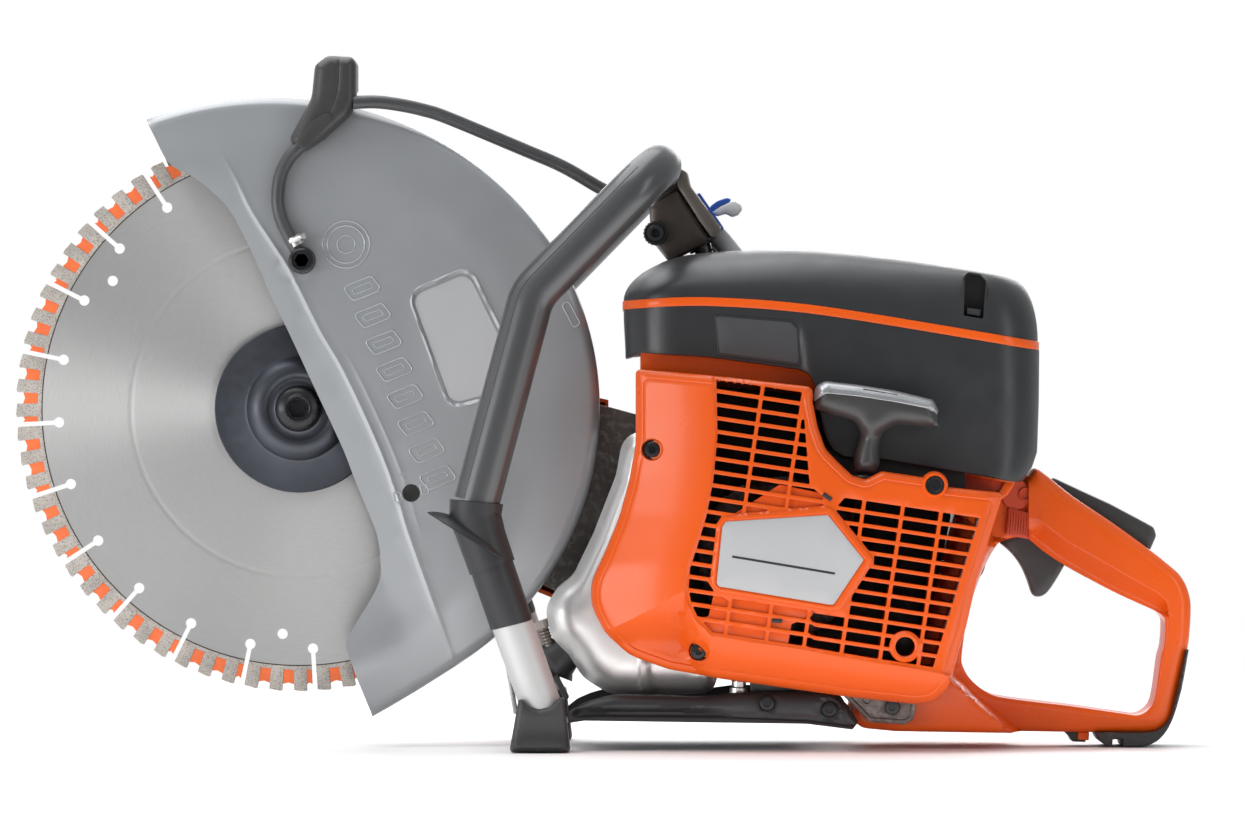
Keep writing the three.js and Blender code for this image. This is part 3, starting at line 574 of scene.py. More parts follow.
def sheet(outline, height, skirt, holes=(), side=NEAR, **how):
    """An open sheet y = height(points), its edges drawn out to y = skirt where that is finite.

    Its thickness comes from a modifier."""
    P, F = fill(outline, holes, **how)
    n = len(P)
    end = values(skirt, P)
    tri = F if side == NEAR else F[:, ::-1]
    rim = [(a, b) for a, b in rim_edges(tri) if np.isfinite(end[a]) and np.isfinite(end[b])]
    used = sorted({i for e in rim for i in e})
    new = {i: n + k for k, i in enumerate(used)}
    v = [(p[0], y, p[1]) for p, y in zip(P, height(P))] + [(P[i][0], end[i], P[i][1]) for i in used]
    return Geo(v, [tuple(t) for t in tri] + [(b, a, new[a], new[b]) for a, b in rim])


def slab(outline, y0, y1, bevel=0.6, m=0, holes=(), grid=12.0):
    """A flat plate in the side plane with small rounded edges."""
    side = NEAR if y0 < y1 else FAR
    depth = min(bevel, abs(y1 - y0) / 2.2)
    sign = 1 if side == NEAR else -1
    loops = [outline, *holes]

    def drop(P):
        return roll(np.min([distance(P, q) for q in loops], 0), bevel, depth)

    rings = (bevel * 0.3, bevel) if bevel else ()
    return relief(outline, lambda P: y0 + sign * drop(P), lambda P: y1 - sign * drop(P), holes, side, m, rings=rings,
        grid=grid)


# the record's slot for each finish here that has another name than its slot
SLOT_OF = {
    "black": "black_plastic", "valve": "black_plastic", "grip": "grip_plastic", "grip_silver": "grip_plastic",
    "bolt": "dark_steel", "black_steel": "dark_steel", "orange_cover": "orange", "orange_dark": "orange",
    "grip_gloss": "sleeve", "plate": "cast", "cast_dark": "cast", "hose_light": "hose", "pale": "blue",
}


def mesh_of(name, geo, origin, outward=True):
    """A mesh in metres about its origin; a closed one gets its faces turned outward."""
    mesh = bpy.data.meshes.new(name)
    mesh.from_pydata([(Vector(p) - origin) * MM for p in geo.v], [], geo.f)
    if outward:
        bm = bmesh.new()
        bm.from_mesh(mesh)
        bmesh.ops.recalc_face_normals(bm, faces=bm.faces)
        bm.to_mesh(mesh)
        bm.free()
    return mesh


def keep_modified(obj):
    """Replaces the mesh by what its modifiers make of it."""
    bpy.context.view_layer.update()
    made = bpy.data.meshes.new_from_object(obj.evaluated_get(bpy.context.evaluated_depsgraph_get()))
    obj.modifiers.clear()
    obj.data = made


def shade(mesh, degrees):
    """Smooth shading with edges above this angle kept sharp."""
    mesh.polygons.foreach_set("use_smooth", [True] * len(mesh.polygons))
    mesh.set_sharp_from_angle(angle=math.radians(degrees))


def piece(name, geo, materials, body="chassis", slot=None, replaces=(), angle=32, thickness=0, modifiers=(),
        closed=True, origin=(0, 0, 0)):
    """An object of the visual model, riding on a CAD body."""
    o = Vector(origin)
    mesh = mesh_of(name, geo, o, closed)
    keys = [materials] if isinstance(materials, str) else materials
    for k in keys:
        mesh.materials.append(M[k])
    mesh.polygons.foreach_set("material_index", geo.m)
    obj = bpy.data.objects.new(name, mesh)
    scene.collection.objects.link(obj)
    obj.location = o * MM
    if thickness:
        s = obj.modifiers.new("thickness", "SOLIDIFY")
        s.thickness, s.offset = thickness * MM, -1
    for kind, values in modifiers:
        mod = obj.modifiers.new(kind.lower(), kind)
        for key, value in values.items():
            setattr(mod, key, value)
    if obj.modifiers:
        keep_modified(obj)
        obj.data.name = name
    shade(obj.data, angle)
    if isinstance(body, tuple):
        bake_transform(obj)
    else:
        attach(obj, body)
    slot = slot or SLOT_OF.get(keys[0], keys[0])
    if replaces:
        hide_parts(*replaces)
    return obj


def socket_screw(x, y, z, r=4.6, side=NEAR):
    """A round-headed screw with a hex socket, its head facing out."""
    s = side
    h = r * 0.5
    rows = [(r, 0), (r, s * 1.6), (r * 0.86, s * 2.4), (r * 0.62, s * 2.6), (h, s * 2.6, 6), (h * 0.92, s * 0.6, 6),
        (0, s * 0.6, 6)]
    return turned(rows, (x, y, z), sides=36)


def knurl(x, z, r, y0, y1, wire, count, sides=6):
    """Fine bars along y, set round a knob."""
    out = Geo()
    for i in range(count):
        a = 2 * math.pi * i / count
        bar_x, bar_z = x + r * math.cos(a), z + r * math.sin(a)
        out += tube([(bar_x, y0, bar_z), (bar_x, y1, bar_z)], wire, sides)
    return out


# ---- blade, its flange and its bolt ----
BLADE_SLOTS, SLOT_START, SLOT_HALF = 24, 3.3, 1.4
SLOT_STEP = 360 / BLADE_SLOTS
CORE_R, DENT_R = 161, 104
KEYHOLE_AT, KEYHOLE_R = 148.7, 3.3


def polar(r, degrees):
    """A point about the hub."""
    a = math.radians(degrees)
    return (HUB[0] + r * math.cos(a), HUB[1] + r * math.sin(a))


def local(angle, along, across):
    """A point along a ray from the hub and across it."""
    a = math.radians(angle)
    return (HUB[0] + along * math.cos(a) - across * math.sin(a), HUB[1] + along * math.sin(a) + across * math.cos(a))


def blade_core(r):
    out, mouth = [], math.sqrt(KEYHOLE_R ** 2 - SLOT_HALF ** 2)
    gap = math.degrees(SLOT_HALF / r)
    for k in range(BLADE_SLOTS):
        a = SLOT_START + SLOT_STEP * k
        out.append(local(a, r, -SLOT_HALF))
        start = math.degrees(math.atan2(-SLOT_HALF, mouth))
        for j in range(13):
            t = math.radians(start - (360 + 2 * start) * j / 12)
            out.append(local(a, KEYHOLE_AT + KEYHOLE_R * math.cos(t), KEYHOLE_R * math.sin(t)))
        out += [local(a, r, SLOT_HALF)] + [polar(r, a + gap + (SLOT_STEP - 2 * gap) * j / 8) for j in range(1, 8)]
    return np.array(out)


def blade_face(P):
    return -1.6 + 0.35 * np.exp(-((reach(P, HUB) - DENT_R) / 1.1) ** 2)


holes = [circle(*polar(139.7, a), 3.25, 20) for a in (25.6, 145.6, 265.8)]
core = relief(blade_core(CORE_R), blade_face, lambda P: -blade_face(P), holes, rings=(), grid=14,
    lines=[(circle(*HUB, DENT_R, 96), True, (-4, -3, -2.2, -1.1, 0, 1.1, 2.2, 3, 4))])
TOOTH, FILL = 8.3, 6.6  # the lengths of a tooth and of the gap after it, along the rim
SEGMENT_R = 169  # the radius at which those lengths are measured
segments, filling = Geo(), Geo()
for k in range(BLADE_SLOTS):
    a0 = SLOT_START + SLOT_STEP * k

    def at(r, mm):
        if mm <= 0:
            return local(a0, math.sqrt(max(r * r - SLOT_HALF ** 2, 0)), SLOT_HALF)
        return polar(r, a0 + math.degrees((SLOT_HALF + mm) / SEGMENT_R))

    rows, x = [], 0.0
    for i in range(3):
        rows += [at(174.2, x + 0.3), at(175, x + TOOTH * 0.8), at(174.6, x + TOOTH)]
        x += TOOTH
        width = FILL if i < 2 else FILL / 2
        end = x + width
        rows += [at(161.6, x), at(161.6, end)]
        lap = end + (0.3 if i < 2 else 0)
        patch = [at(161.7, x - 0.3), at(161.7, lap), at(170.6, lap), at(169.6, (x + end) / 2), at(170.8, x - 0.3)]
        filling += slab(np.array(patch), -1.92, 1.92, 0.3, m=2)
        x = end
    rows += [at(159.2, x - 3 * j) for j in range(0, 14)] + [at(159.2, 0), at(166, 0), at(173.6, 0)]
    segments += slab(np.array(rows), -2.05, 2.05, 0.25, m=1)
n = Nodes("brushed_blade")
split = n.new("SeparateXYZ", {0: n.place})
radius = n.new("VectorMath", {0: n.place}, operation="LENGTH").outputs["Value"]
around = n.new("Math", {0: split.outputs[2], 1: split.outputs[0]}, operation="ARCTAN2").outputs[0]
rings = n.new("CombineXYZ", {0: radius, 1: n.new("Math", {0: around, 1: 0.004},
    operation="MULTIPLY").outputs[0]}).outputs[0]
streak = n.noise(3600, 2, rings)
broad = n.noise(14, 3)
base = n.mix(n.ramp(streak, 0, 1), (0.47, 0.465, 0.46), (0.55, 0.545, 0.54))
base = n.mix(n.ramp(broad, 0, 0.2), base, (0.42, 0.41, 0.395))
weld = n.ramp(n.new("Math", {0: n.new("Math", {0: radius, 1: 0.159}, operation="SUBTRACT").outputs[0]},
    operation="ABSOLUTE").outputs[0], 1, 0, 0.00025, 0.0006)
base = n.mix(weld, base, (0.05, 0.045, 0.04))
n.link(base, "Base Color")
n.link(n.ramp(streak, 0.48, 0.54), "Roughness")
n.link(n.bump(streak, 0.06, 0.00004), "Normal")
n.shader.inputs["Metallic"].default_value = 1.0
n.shader.inputs["Anisotropic"].default_value = 0.9
n.shader.inputs["Anisotropic Rotation"].default_value = 0.25
n.link(n.new("Tangent", direction_type="RADIAL", axis="Y").outputs[0], "Tangent")
M["blade"] = n.material
piece("blade_disc", core + segments + filling, ["blade", "segment", "orange_matt"], body="spindle",
    replaces=["blade"], origin=AXLE)

flange = [(52, -1.9), (52, -4.6), (51.2, -5.4), (34, -5.8), (32.2, -6.4), (30.8, -8.2), (28.5, -10.6), (25.5, -12.2),
    (22.5, -12.9), (20.4, -12.6), (19, -11.6), (17.5, -11.2), (15.2, -11.2), (14.4, -11.6), (14.4, -9)]
piece("clamp_flange", turned(flange + [(13.2, -9), (13.2, -1.9)], AXLE, sides=72), "dark_steel", body="spindle",
    replaces=["outer_flange"], origin=AXLE)
bolt = [(6, 20), (6, -2), (13, -2), (14, -10), (14, -16.5), (13.4, -18.6), (11.6, -20.4), (9.4, -21), (8.2, -21.6),
    (7.6, -22.4), (7.1, -22.2), (6.8, -21), (6.2, -21, 6), (6.0, -15.5, 6), (0, -15.5)]
piece("clamp_bolt", turned(bolt, AXLE, sides=60), "bolt", body="spindle", replaces=["blade_bolt"], origin=AXLE)

# ---- guard ----
GUARD_FACE = -26  # y of its near face
HOLE_AT = (-117, 156)


def rim_radius(a):
    if a > 50:
        return 186 + 15 * ((a - 50) / 67) ** 2
    return 186 + (10 * ((-56 - a) / 21) ** 2 if a < -56 else 0)


GUARD_RIM = np.array([polar(rim_radius(a), a) for a in np.linspace(-76.5, 117.7, 110)])
NEAR_FRONT = curve([(-277, 379), (-266, 359), (-252, 351), (-238, 340), (-228, 329), (-220, 314), (-211, 295),
    (-202, 274), (-193, 256), (-176, 219.5), (-159, 183), (-151, 162), (-140, 136), (-137, 125), (-136, 114),
    (-136, 105), (-140, 94), (-151, 76), (-156, 67), (-157, 61), (-154, 52), (-150, 41), (-142, 21)], n=4)
FAR_FRONT = curve([(-277, 379), (-257, 328), (-243, 298), (-237, 268), (-237, 208), (-233, 168), (-214, 139),
    (-177, 88), (-160, 56), (-142, 21)], n=5)
RIDGE = curve([(-238, 373), (-225, 350), (-214, 328), (-194, 297), (-187, 284), (-173, 256), (-158, 230), (-138, 187),
    (-127, 158), (-119, 132), (-104, 90), (-89, 48)], n=4)
LABEL = rounded([(-119, 279, 9), (-81, 295, 9), (-47, 226, 9), (-74, 213, 9), (-93, 208, 9)])[::-1]
GUARD_HOLE = circle(*HOLE_AT, 5.5, 28)


def guard_outline(front):
    return np.vstack([GUARD_RIM, front])


def guard_height(P):
    d = distance(P, GUARD_RIM, False)
    y = GUARD_FACE + 5.0 * (1 - smooth(d / 38)) + roll(d, 6, 8)
    ridge = distance(P, RIDGE, False)
    band = np.vstack([RIDGE, NEAR_FRONT[::-1]])
    fade = smooth((375 - P[:, 1]) / 60) * smooth((P[:, 1] - 40) / 50)
    front = inside(P, band)
    y += np.where(front, np.clip(ridge * 0.13, 0, 3.2), 0) * fade
    y -= 0.9 * np.exp(-(ridge / 1.3) ** 2) * fade
    return y


def near_height(P):
    y = guard_height(P)
    y -= 1.0 * np.exp(-(distance(P, LABEL) / 1.1) ** 4)
    y += 0.9 * inside(P, LABEL)
    rib = distance(P, RIDGE + np.array([7.5, 0.5]), False)
    fade = smooth((P[:, 1] - 120) / 40) * smooth((250 - P[:, 1]) / 30)
    y -= 0.45 * np.exp(-(rib / 0.9) ** 2) * fade
    y += 0.8 * np.exp(-(distance(P, circle(-184, 299, 13, 36)) / 1.0) ** 2) * 0.5
    return y


def guard_skirt(height):
    def edge(P):
        rim = distance(P, GUARD_RIM, False) < 0.05
        return np.where(rim, -0.2, height(P) + 2.6)
    return edge


RINGS = (0.25, 0.8, 1.8, 3.2, 5, 7.5)
near = sheet(guard_outline(NEAR_FRONT), near_height, guard_skirt(guard_height), [GUARD_HOLE], grid=6.0, rings=RINGS,
    lines=[(RIDGE, False, (-3, -1.5, -0.6, 0, 0.6, 1.5, 3)), (LABEL, True, (-2.2, -1.4, -0.7, 0, 0.7, 1.4, 2.2)),
    (RIDGE[8:-8] + np.array([7.5, 0.5]), False, (-1.6, -0.8, 0, 0.8, 1.6))])
piece("guard_near_half", near, "guard", body="guard", replaces=["guard_left_shell"], thickness=2.2, closed=False,
    angle=38)


def far_height(P):
    d = distance(P, GUARD_RIM, False)
    return GUARD_FACE + 5.0 * (1 - smooth(d / 38)) + roll(d, 6, 8) - 0.7 * smooth((46 - reach(P, HUB)) / 3)


far = sheet(guard_outline(FAR_FRONT), far_height, guard_skirt(far_height), [circle(*HUB, 24, 48)], grid=8.0,
    rings=RINGS, lines=[(circle(*HUB, 44.5, 60), True, (-2, -1, 0, 1, 2))])
piece("guard_far_half", far.mirrored(), "guard", body="guard", replaces=["guard_right_shell"], thickness=2.2,
    closed=False, angle=38)


def bead(loop, height, r):
    """A raised line round a closed loop on a surface."""
    loop = dense(loop, 3)
    y = height(loop)
    n, rings = len(loop), []
    for i in range(n):
        t = loop[(i + 1) % n] - loop[i - 1]
        t = t / np.linalg.norm(t)
        u = Vector((-t[1], 0, t[0]))
        rings.append([Vector((loop[i][0], y[i], loop[i][1])) + u * (r * math.cos(a)) + Vector((0, -r * math.sin(a),
            0)) for a in (2 * math.pi * k / 8 for k in range(8))])
    return skin(rings + [rings[0]], caps=False)


def turned_loop(corners, at, degrees):
    a = math.radians(degrees)
    loop = rounded(corners)
    x, z = loop.T
    return np.stack([at[0] + x * math.cos(a) - z * math.sin(a), at[1] + x * math.sin(a) + z * math.cos(a)], 1)


beads = Geo()
ALONG = math.degrees(math.atan2(-123, 49))
for i in range(8):
    at = (-147 + 49 * i / 7.4, 282 - 123 * i / 7.4)
    beads += bead(turned_loop([(-5.2, -11, 2.5), (5.2, -8, 2.5), (5.2, 11, 2.5), (-5.2, 8, 2.5)], at, ALONG),
        guard_height, 0.55)
    beads += bead(turned_loop([(-1.9, -6.6, 1.2), (1.9, -5.4, 1.2), (1.9, 6.6, 1.2), (-1.9, 5.4, 1.2)], at, ALONG),
        guard_height, 0.4)
for r in (14.5, 11.5, 5.5):
    beads += bead(circle(-157, 309, r, 40), guard_height, 0.55 if r > 6 else 0.45)
for side in (-1, 1):
    beads += bead(turned_loop([(-2.2, -3, 1), (2.2, -3, 1), (2.2, 3, 1), (-2.2, 3, 1)], (HOLE_AT[0] + side * 8.2,
        HOLE_AT[1] + side * 2.4), 16), guard_height, 0.5)
beads += bead(turned_loop([(-2.4, -8, 2), (2.4, -8, 2), (2.4, 8, 2), (-2.4, 8, 2)], (-18.5, 266), 28), guard_height,
    0.6)
piece("guard_ribs", beads, "guard", body="guard")
plate = rounded([(-116.4, 277.2, 7.5), (-82.2, 291.6, 7.5), (-50, 226, 7.5), (-75, 215.6, 7.5), (-92.2, 211, 7.5)])
piece("guard_label_plate", relief(plate, lambda P: guard_height(P) + 0.55, lambda P: guard_height(P) + 1.4, grid=12,
    rings=(0.4,)), "label", body="guard", slot="guard")
piece("guard_hole_bush", turned([(5.4, -25.6), (4.6, -25.6), (4.6, -20), (5.4, -20), (5.4, -25.6)], (-117, 0, 156),
    sides=28, caps=False), "black", body="guard")

# ---- guard grip, its hose and the nozzle ----
GRIP = rounded([(-176, 419, 5), (-168, 425, 6), (-150.5, 424, 5), (-150.5, 397, 10), (-154, 388, 14), (-171, 373, 8),
    (-183, 365, 4), (-192, 373, 4), (-178, 399, 16)])[::-1]
SEAM = curve([(-161, 425), (-161.5, 408), (-164, 397), (-170, 386), (-183.5, 370)], n=6)


def grip_height(P):
    y = -37.4 + roll(distance(P, GRIP), 6.5, 7)
    return y + 0.7 * np.exp(-(distance(P, SEAM, False) / 0.5) ** 2)


def grip_back(P):
    return np.where(P[:, 1] > 402.5, 12 - roll(distance(P, GRIP), 6.5, 7), -26.3 + 6 * smooth((P[:, 1] - 396) / 8))


piece("guard_grip_cover", relief(GRIP, grip_height, grip_back, rings=(0.2, 0.7, 1.6, 3, 5), grid=3.0,
    lines=[(SEAM, False, (-1.0, -0.4, 0, 0.4, 1.0)), (np.array([(-190, 402.6), (-140, 402.6)]), False, (0, -0.5))]),
    "grip", body="guard", replaces=["guard_grip"])
ferrule = rounded([(-178.5, 384, 2), (-168, 390.5, 3), (-164, 386.5, 3), (-182, 366.5, 3), (-188, 370, 2)])
piece("grip_ferrule", slab(ferrule, -38.4, -36, 0.8, grid=5), "grip", body="guard")
route = curve([(-178, -31, 374), (-185, -31, 369), (-192.5, -31, 361), (-197.5, -31, 350), (-199, -31, 336),
    (-197, -31, 325), (-192.5, -31, 315), (-187.5, -31, 306)], n=5)
piece("guard_hose_tube", tube(route, 4.1, 20), "hose", body="guard", replaces=["guard_hose"])
nozzle = turned([(8.4, -24.5), (8.4, -29), (7.6, -30.5), (7.2, -35), (7.6, -36)], (-184, 0, 299), sides=36)
nozzle += turned([(7.6, -36), (7.4, -37.6), (6.2, -38.4), (5.6, -37.4), (4.4, -37.2, 6), (4.2, -34.5, 6), (0, -34.5)],
    (-184, 0, 299), sides=36, m=1)
nozzle += tube([(-184.4, -31, 300), (-187.6, -31, 307.5)], 3.4, 20)
piece("nozzle_body", nozzle, ["black_steel", "bolt"], body="guard", replaces=["spray_nozzle"])
band = tube([(-186.4, -31, 308.2), (-189.2, -31, 313.6)], 4.9, 28)
band += tube([(-183.6, -34.6, 313.5), (-181.4, -34.8, 314.4)], 2.4, 4)
band += tube([(-191.5, -35, 310.2), (-187, -35.6, 312), (-184, -35, 313.2)], [1.2, 1.5, 1.2], 6)
piece("nozzle_clamp", band, "steel", body="guard")
supply = curve([(27, 20, 332), (14, 18.5, 338), (-1, 16, 345), (-24, 9.5, 358), (-50, 2, 369), (-94, -14, 387),
    (-110, -20.5, 392), (-125, -26, 395), (-139, -29.5, 396.5), (-153, -32, 396)], n=6)
piece("supply_hose_tube", tube(supply, 4.1, 20), "hose", body=("chassis", "guard", (-0.02, 0.008, 0.356),
    (-0.135, -0.028, 0.396)), replaces=["guard_supply_hose"])


# ---- starter cover ----
COVER = rounded([(21, 232, 3), (66, 228, 40), (128, 221, 4), (128, 212, 6), (131, 197, 14), (136, 183, 14),
    (145, 174, 10), (152, 167.5, 6), (160, 165, 4), (170, 170, 4), (197, 166, 8), (209, 160.4, 6), (243.6, 156.8, 3),
    (228, 107, 60), (221, 76, 40), (216, 60, 30), (210.5, 40, 14), (202, 29.5, 14), (190, 28.5, 10), (152, 32.6, 60),
    (73, 43.8, 60), (41, 49.4, 40), (17, 58, 26), (2, 72, 26), (-6, 88, 22), (-6.5, 102, 26), (2, 120, 60),
    (11, 142, 60), (17, 164, 60), (21, 186, 60)])[::-1]
TILT = math.radians(8.6)
GRILLE_AT = (69.7, 225.6)
PANEL_EDGE = curve([(67.5, 229), (69, 210), (68.9, 190), (66.5, 165.7), (62, 144), (56.3, 125.4), (51.7, 111.5),
    (50.4, 99), (52.4, 89), (57, 80), (67, 70.5), (80, 68), (111.5, 63.8), (160, 56), (201, 48.5), (210, 46)], n=5)
FRAME = rounded([(71, 138, 3), (74, 142.4, 3), (138.6, 148.6, 5), (164.6, 117, 3), (145, 86, 4), (139, 85.6, 4),
    (72.5, 96.6, 4), (66.6, 101.5, 3)])[::-1]
PLATE = rounded([(72.6, 137, 2), (75, 140.4, 2), (137.4, 144.4, 1), (159.6, 116.5, 1), (141, 88.8, 1), (138, 88.6, 1),
    (70.6, 99.8, 2), (69, 102, 2)])[::-1]
COVER_Y = -112
COVER_SCREWS = ((31, 183), (59, 61))
BOSS_AT = (183.8, 64)


def steep(d):
    return 20 * (np.clip(d, 0, 60) / 50) ** 1.3


def cover_height(P):
    x, z = P.T
    left = np.interp(z, [60, 99, 111.5, 125.4, 144, 165.7, 192, 235], [50.4, 50.4, 51.7, 56.3, 62, 66.5, 69, 67]) - x
    below = np.interp(x, [0, 50.4, 52.4, 57, 67, 111.5, 201, 250], [97, 97, 89, 80, 70.5, 63.8, 48.5, 40]) - z
    drop = np.maximum(steep(left), steep(below * 50 / 26))
    edge = distance(P, COVER)
    drop = drop + roll(edge, 4.5, 4.5) + 0.5 * np.exp(-((edge - 5.2) / 0.5) ** 2)
    within = np.minimum(-left, -below)
    right = 1.2 * smooth((x - np.interp(z, [30, 60, 107, 153], [203, 208, 221, 234])) / 5) * (within > 0)
    drop = drop + 1.1 * smooth(within / 1.6) + right * 2
    frame = distance(P, FRAME) * np.where(inside(P, FRAME), 1, -1)
    drop = drop - 1.5 * smooth((frame + 0.4) / 1.2)
    drop = drop + 0.9 * inside(P, PLATE)
    for at in COVER_SCREWS:
        drop = drop + 1.4 * (1 - smooth((reach(P, at) - 5.6) / 1.2))
    drop = drop - 1.6 * (1 - smooth((np.abs(reach(P, BOSS_AT) - 7.2) - 0.9) / 0.8))
    return COVER_Y + drop


def to_grille(P):
    dx, dz = P[..., 0] - GRILLE_AT[0], P[..., 1] - GRILLE_AT[1]
    return np.stack([dx * math.cos(TILT) - dz * math.sin(TILT), dx * math.sin(TILT) + dz * math.cos(TILT)], -1)


def from_grille(Q):
    u, v = Q[..., 0], Q[..., 1]
    return np.stack([GRILLE_AT[0] + u * math.cos(TILT) + v * math.sin(TILT), GRILLE_AT[1] - u * math.sin(TILT)
        + v * math.cos(TILT)], -1)


def clip(poly, a, b, c):
    """The part of a polygon where a x + b z + c >= 0."""
    out = []
    for p, q in zip(poly, np.roll(poly, -1, 0)):
        fp, fq = a * p[0] + b * p[1] + c, a * q[0] + b * q[1] + c
        if fp >= 0:
            out.append(p)
        if (fp > 0 > fq) or (fp < 0 < fq):
            out.append(p + (q - p) * fp / (fp - fq))
    return np.array(out).reshape(-1, 2)


ZONE_A = np.array([(69.7, 225.6), (121.5, 219.3), (126.2, 161.5), (134, 155), (135.5, 147), (130, 100), (128, 62.2),
    (111.5, 65.4), (68, 72.2), (58.4, 82), (54.6, 90), (52.9, 99), (53.8, 111.5), (58.4, 125.4), (64, 144),
    (68, 165.7), (70.4, 192)])
ZONE_B = np.array([(147.3, 154), (229, 142.3), (200.5, 50.8), (125.5, 63.6), (128, 87), (145, 95), (155, 117),
    (143, 135), (140.5, 146.5)])
BOSS = to_grille(np.array(BOSS_AT, float))
RING = 9.5


def around_boss(cell):
    """The window, or its two halves, with the round boss's ring kept clear of it, as clean outlines."""
    low, high = (cell - BOSS).min(0), (cell - BOSS).max(0)
    halves = [cell]
    crossed = low[0] < RING and high[0] > -RING and low[1] < RING and high[1] > -RING
    through = crossed and low[1] > -RING and high[1] < RING
    if through:
        halves = [clip(cell, side, 0, -side * BOSS[0]) for side in (-1, 1)]
    for half in halves:
        if len(half) < 3:
            continue
        half = half.copy()
        if crossed:
            half = dense(half, 0.8)
            away = half - BOSS
            axis, side = (0, np.sign(away[:, 0].mean())) if through else (1, np.sign(away[:, 1].mean()))
            bound = np.sqrt(np.clip(RING ** 2 - away[:, 1 - axis] ** 2, 0, None))
            half[:, axis] = BOSS[axis] + side * np.maximum(side * away[:, axis], np.where(bound > 0, bound, -1e3))
        keep = np.array([p for i, p in enumerate(half) if np.linalg.norm(p - half[i - 1]) > 0.35])
        if len(keep) < 3 or abs(area(keep)) < 6 or np.linalg.norm(keep - np.roll(keep, 1, 0), axis=1).min() < 0.3:
            continue
        out = rounded([(*p, 0.7) for p in keep], step=0.8)
        yield out if area(out) > 0 else out[::-1]


BARS = [-60, 28.5, 53.5, 76.5, 99.5, 123.1, 146.4, 200]
windows = []
for zone, start, pitch, rows in ((ZONE_A, 0.0, 8.1, 19), (ZONE_B, -59.1, 7.97, 12)):
    local_zone = to_grille(zone)
    for k in range(rows):
        top = start - pitch * k
        for u0, u1 in zip(BARS, BARS[1:]):
            cell = local_zone
            for a, b, c in ((1, 0, -(u0 + 1.1)), (-1, 0, u1 - 1.1), (0, -1, top), (0, 1, -(top - 5.75))):
                cell = clip(cell, a, b, c)
                if len(cell) < 3:
                    break
            if len(cell) < 3:
                continue
            cell = from_grille(cell)
            mid = cell.mean(0)
            best = None
            for p, q in zip(FRAME, np.roll(FRAME, -1, 0)):
                t = (q - p) / max(np.linalg.norm(q - p), 1e-9)
                s = (mid - p) @ np.array([t[1], -t[0]])
                if best is None or s > best[0]:
                    best = (s, t[1], -t[0], -(p @ np.array([t[1], -t[0]])) - 1.0)
            cell = clip(cell, *best[1:])
            if len(cell) < 3:
                continue
            windows += [from_grille(half) for half in around_boss(to_grille(cell))]
BOSS_HOLE = circle(*BOSS_AT, 6.0, 28)
cover = sheet(COVER, cover_height, -62, windows + [BOSS_HOLE], grid=5.0, hole_rings=False, rings=(0.12, 0.5, 1.3, 2.6,
    4.4, 5.2, 6.2, 8), lines=[(PANEL_EDGE, False, (-1.8, -0.9, 0, 0.9, 1.8)), (FRAME, True, (-0.8, -0.2, 0.4, 1.2)),
    (PLATE, True, (-0.15, 0.15)), (np.array([(49, 96.4), (2, 72)]), False, (-1.2, 0, 1.2)),
    *((circle(*at, 6.2, 30), True, (-0.6, 0, 0.6)) for at in COVER_SCREWS), (circle(*BOSS_AT, 7.4, 30), True,
    (-0.5, 0.5, 1.4))])
# the cover is drawn in the darker copy of the orange, painted shade
piece("starter_cover_shell", cover, "orange_cover", replaces=["starter_cover"], thickness=2.6, closed=False, angle=30,
    modifiers=[("BEVEL", {"width": 0.45 * MM, "segments": 2, "limit_method": "ANGLE",
    "angle_limit": math.radians(60)})])
BACK_A = rounded([(74, 140, 1), (108, 162, 2), (137, 156, 1), (139, 146, 1)])[::-1]
BACK_B = rounded([(69, 99, 1), (65, 82.5, 1), (55, 79.5, 1), (67, 68.5, 1), (112.6, 62.5, 1), (115.2, 77.5, 1),
    (127, 82.2, 1), (133, 90, 1)])[::-1]
# the backing too is in the darker copy of the orange, painted shade
piece("starter_cover_backing", slab(BACK_A, -108.6, -107, 0.4, grid=10) + slab(BACK_B, -108.6, -107, 0.4, grid=10),
    "orange_cover")
piece("starter_label_plate", slab(rounded([(73.3, 136.6, 1.6), (75.4, 139.6, 1.6), (137.1, 143.6, 0.8), (158.8, 116.5,
    0.8), (140.7, 89.5, 0.8), (138, 89.4, 0.8), (71.2, 100.4, 1.6), (69.8, 102.4, 1.6)])[::-1], COVER_Y + 0.1,
    COVER_Y + 1.2, 0.3), "label", slot="orange")
strip = np.array([(79.4, 119.2), (141.5, 108.9), (141.2, 107.5), (79.1, 117.8)])
dark = slab(strip[::-1], COVER_Y - 0.05, COVER_Y + 0.3, 0.1)
for at, size, turn in (((136.7, 154.5), (3.0, 1.3), -35), ((106.4, 79.6), (3.1, 1.2), -3)):
    w, h = size
    mark = turned_loop([(-w, -h, 0.4), (w, -h, 0.4), (w, h, 0.4), (-w, h, 0.4)], at, turn)
    dark += slab(mark, COVER_Y + 0.2, COVER_Y + 2.6, 0.3, grid=3)
piece("starter_cover_marks", dark, "black")
screws = Geo()
for at in COVER_SCREWS:
    y = float(cover_height(np.array([at]))[0]) - 0.6
    screws += socket_screw(at[0], y, at[1], 4.7)
    screws += turned([(4.9, y + 0.6), (5.9, y + 0.2), (5.9, y + 3), (4.9, y + 3), (4.9, y + 0.6)], (at[0], 0, at[1]),
        sides=32, caps=False)
piece("starter_cover_screws", screws, "bolt")
EYE_AT = (201.7, 0, 161.6)
eye = turned([(5.6, -98), (5.6, -112.0), (6.0, -112.6), (6.8, -112.6), (7.7, -111.4), (8.2, -108), (8.4, -98),
    (5.6, -98)], EYE_AT, sides=44, caps=False)
# the eye too takes the darker copy of the orange, painted shade
piece("starter_cover_eye", eye, "orange_cover")
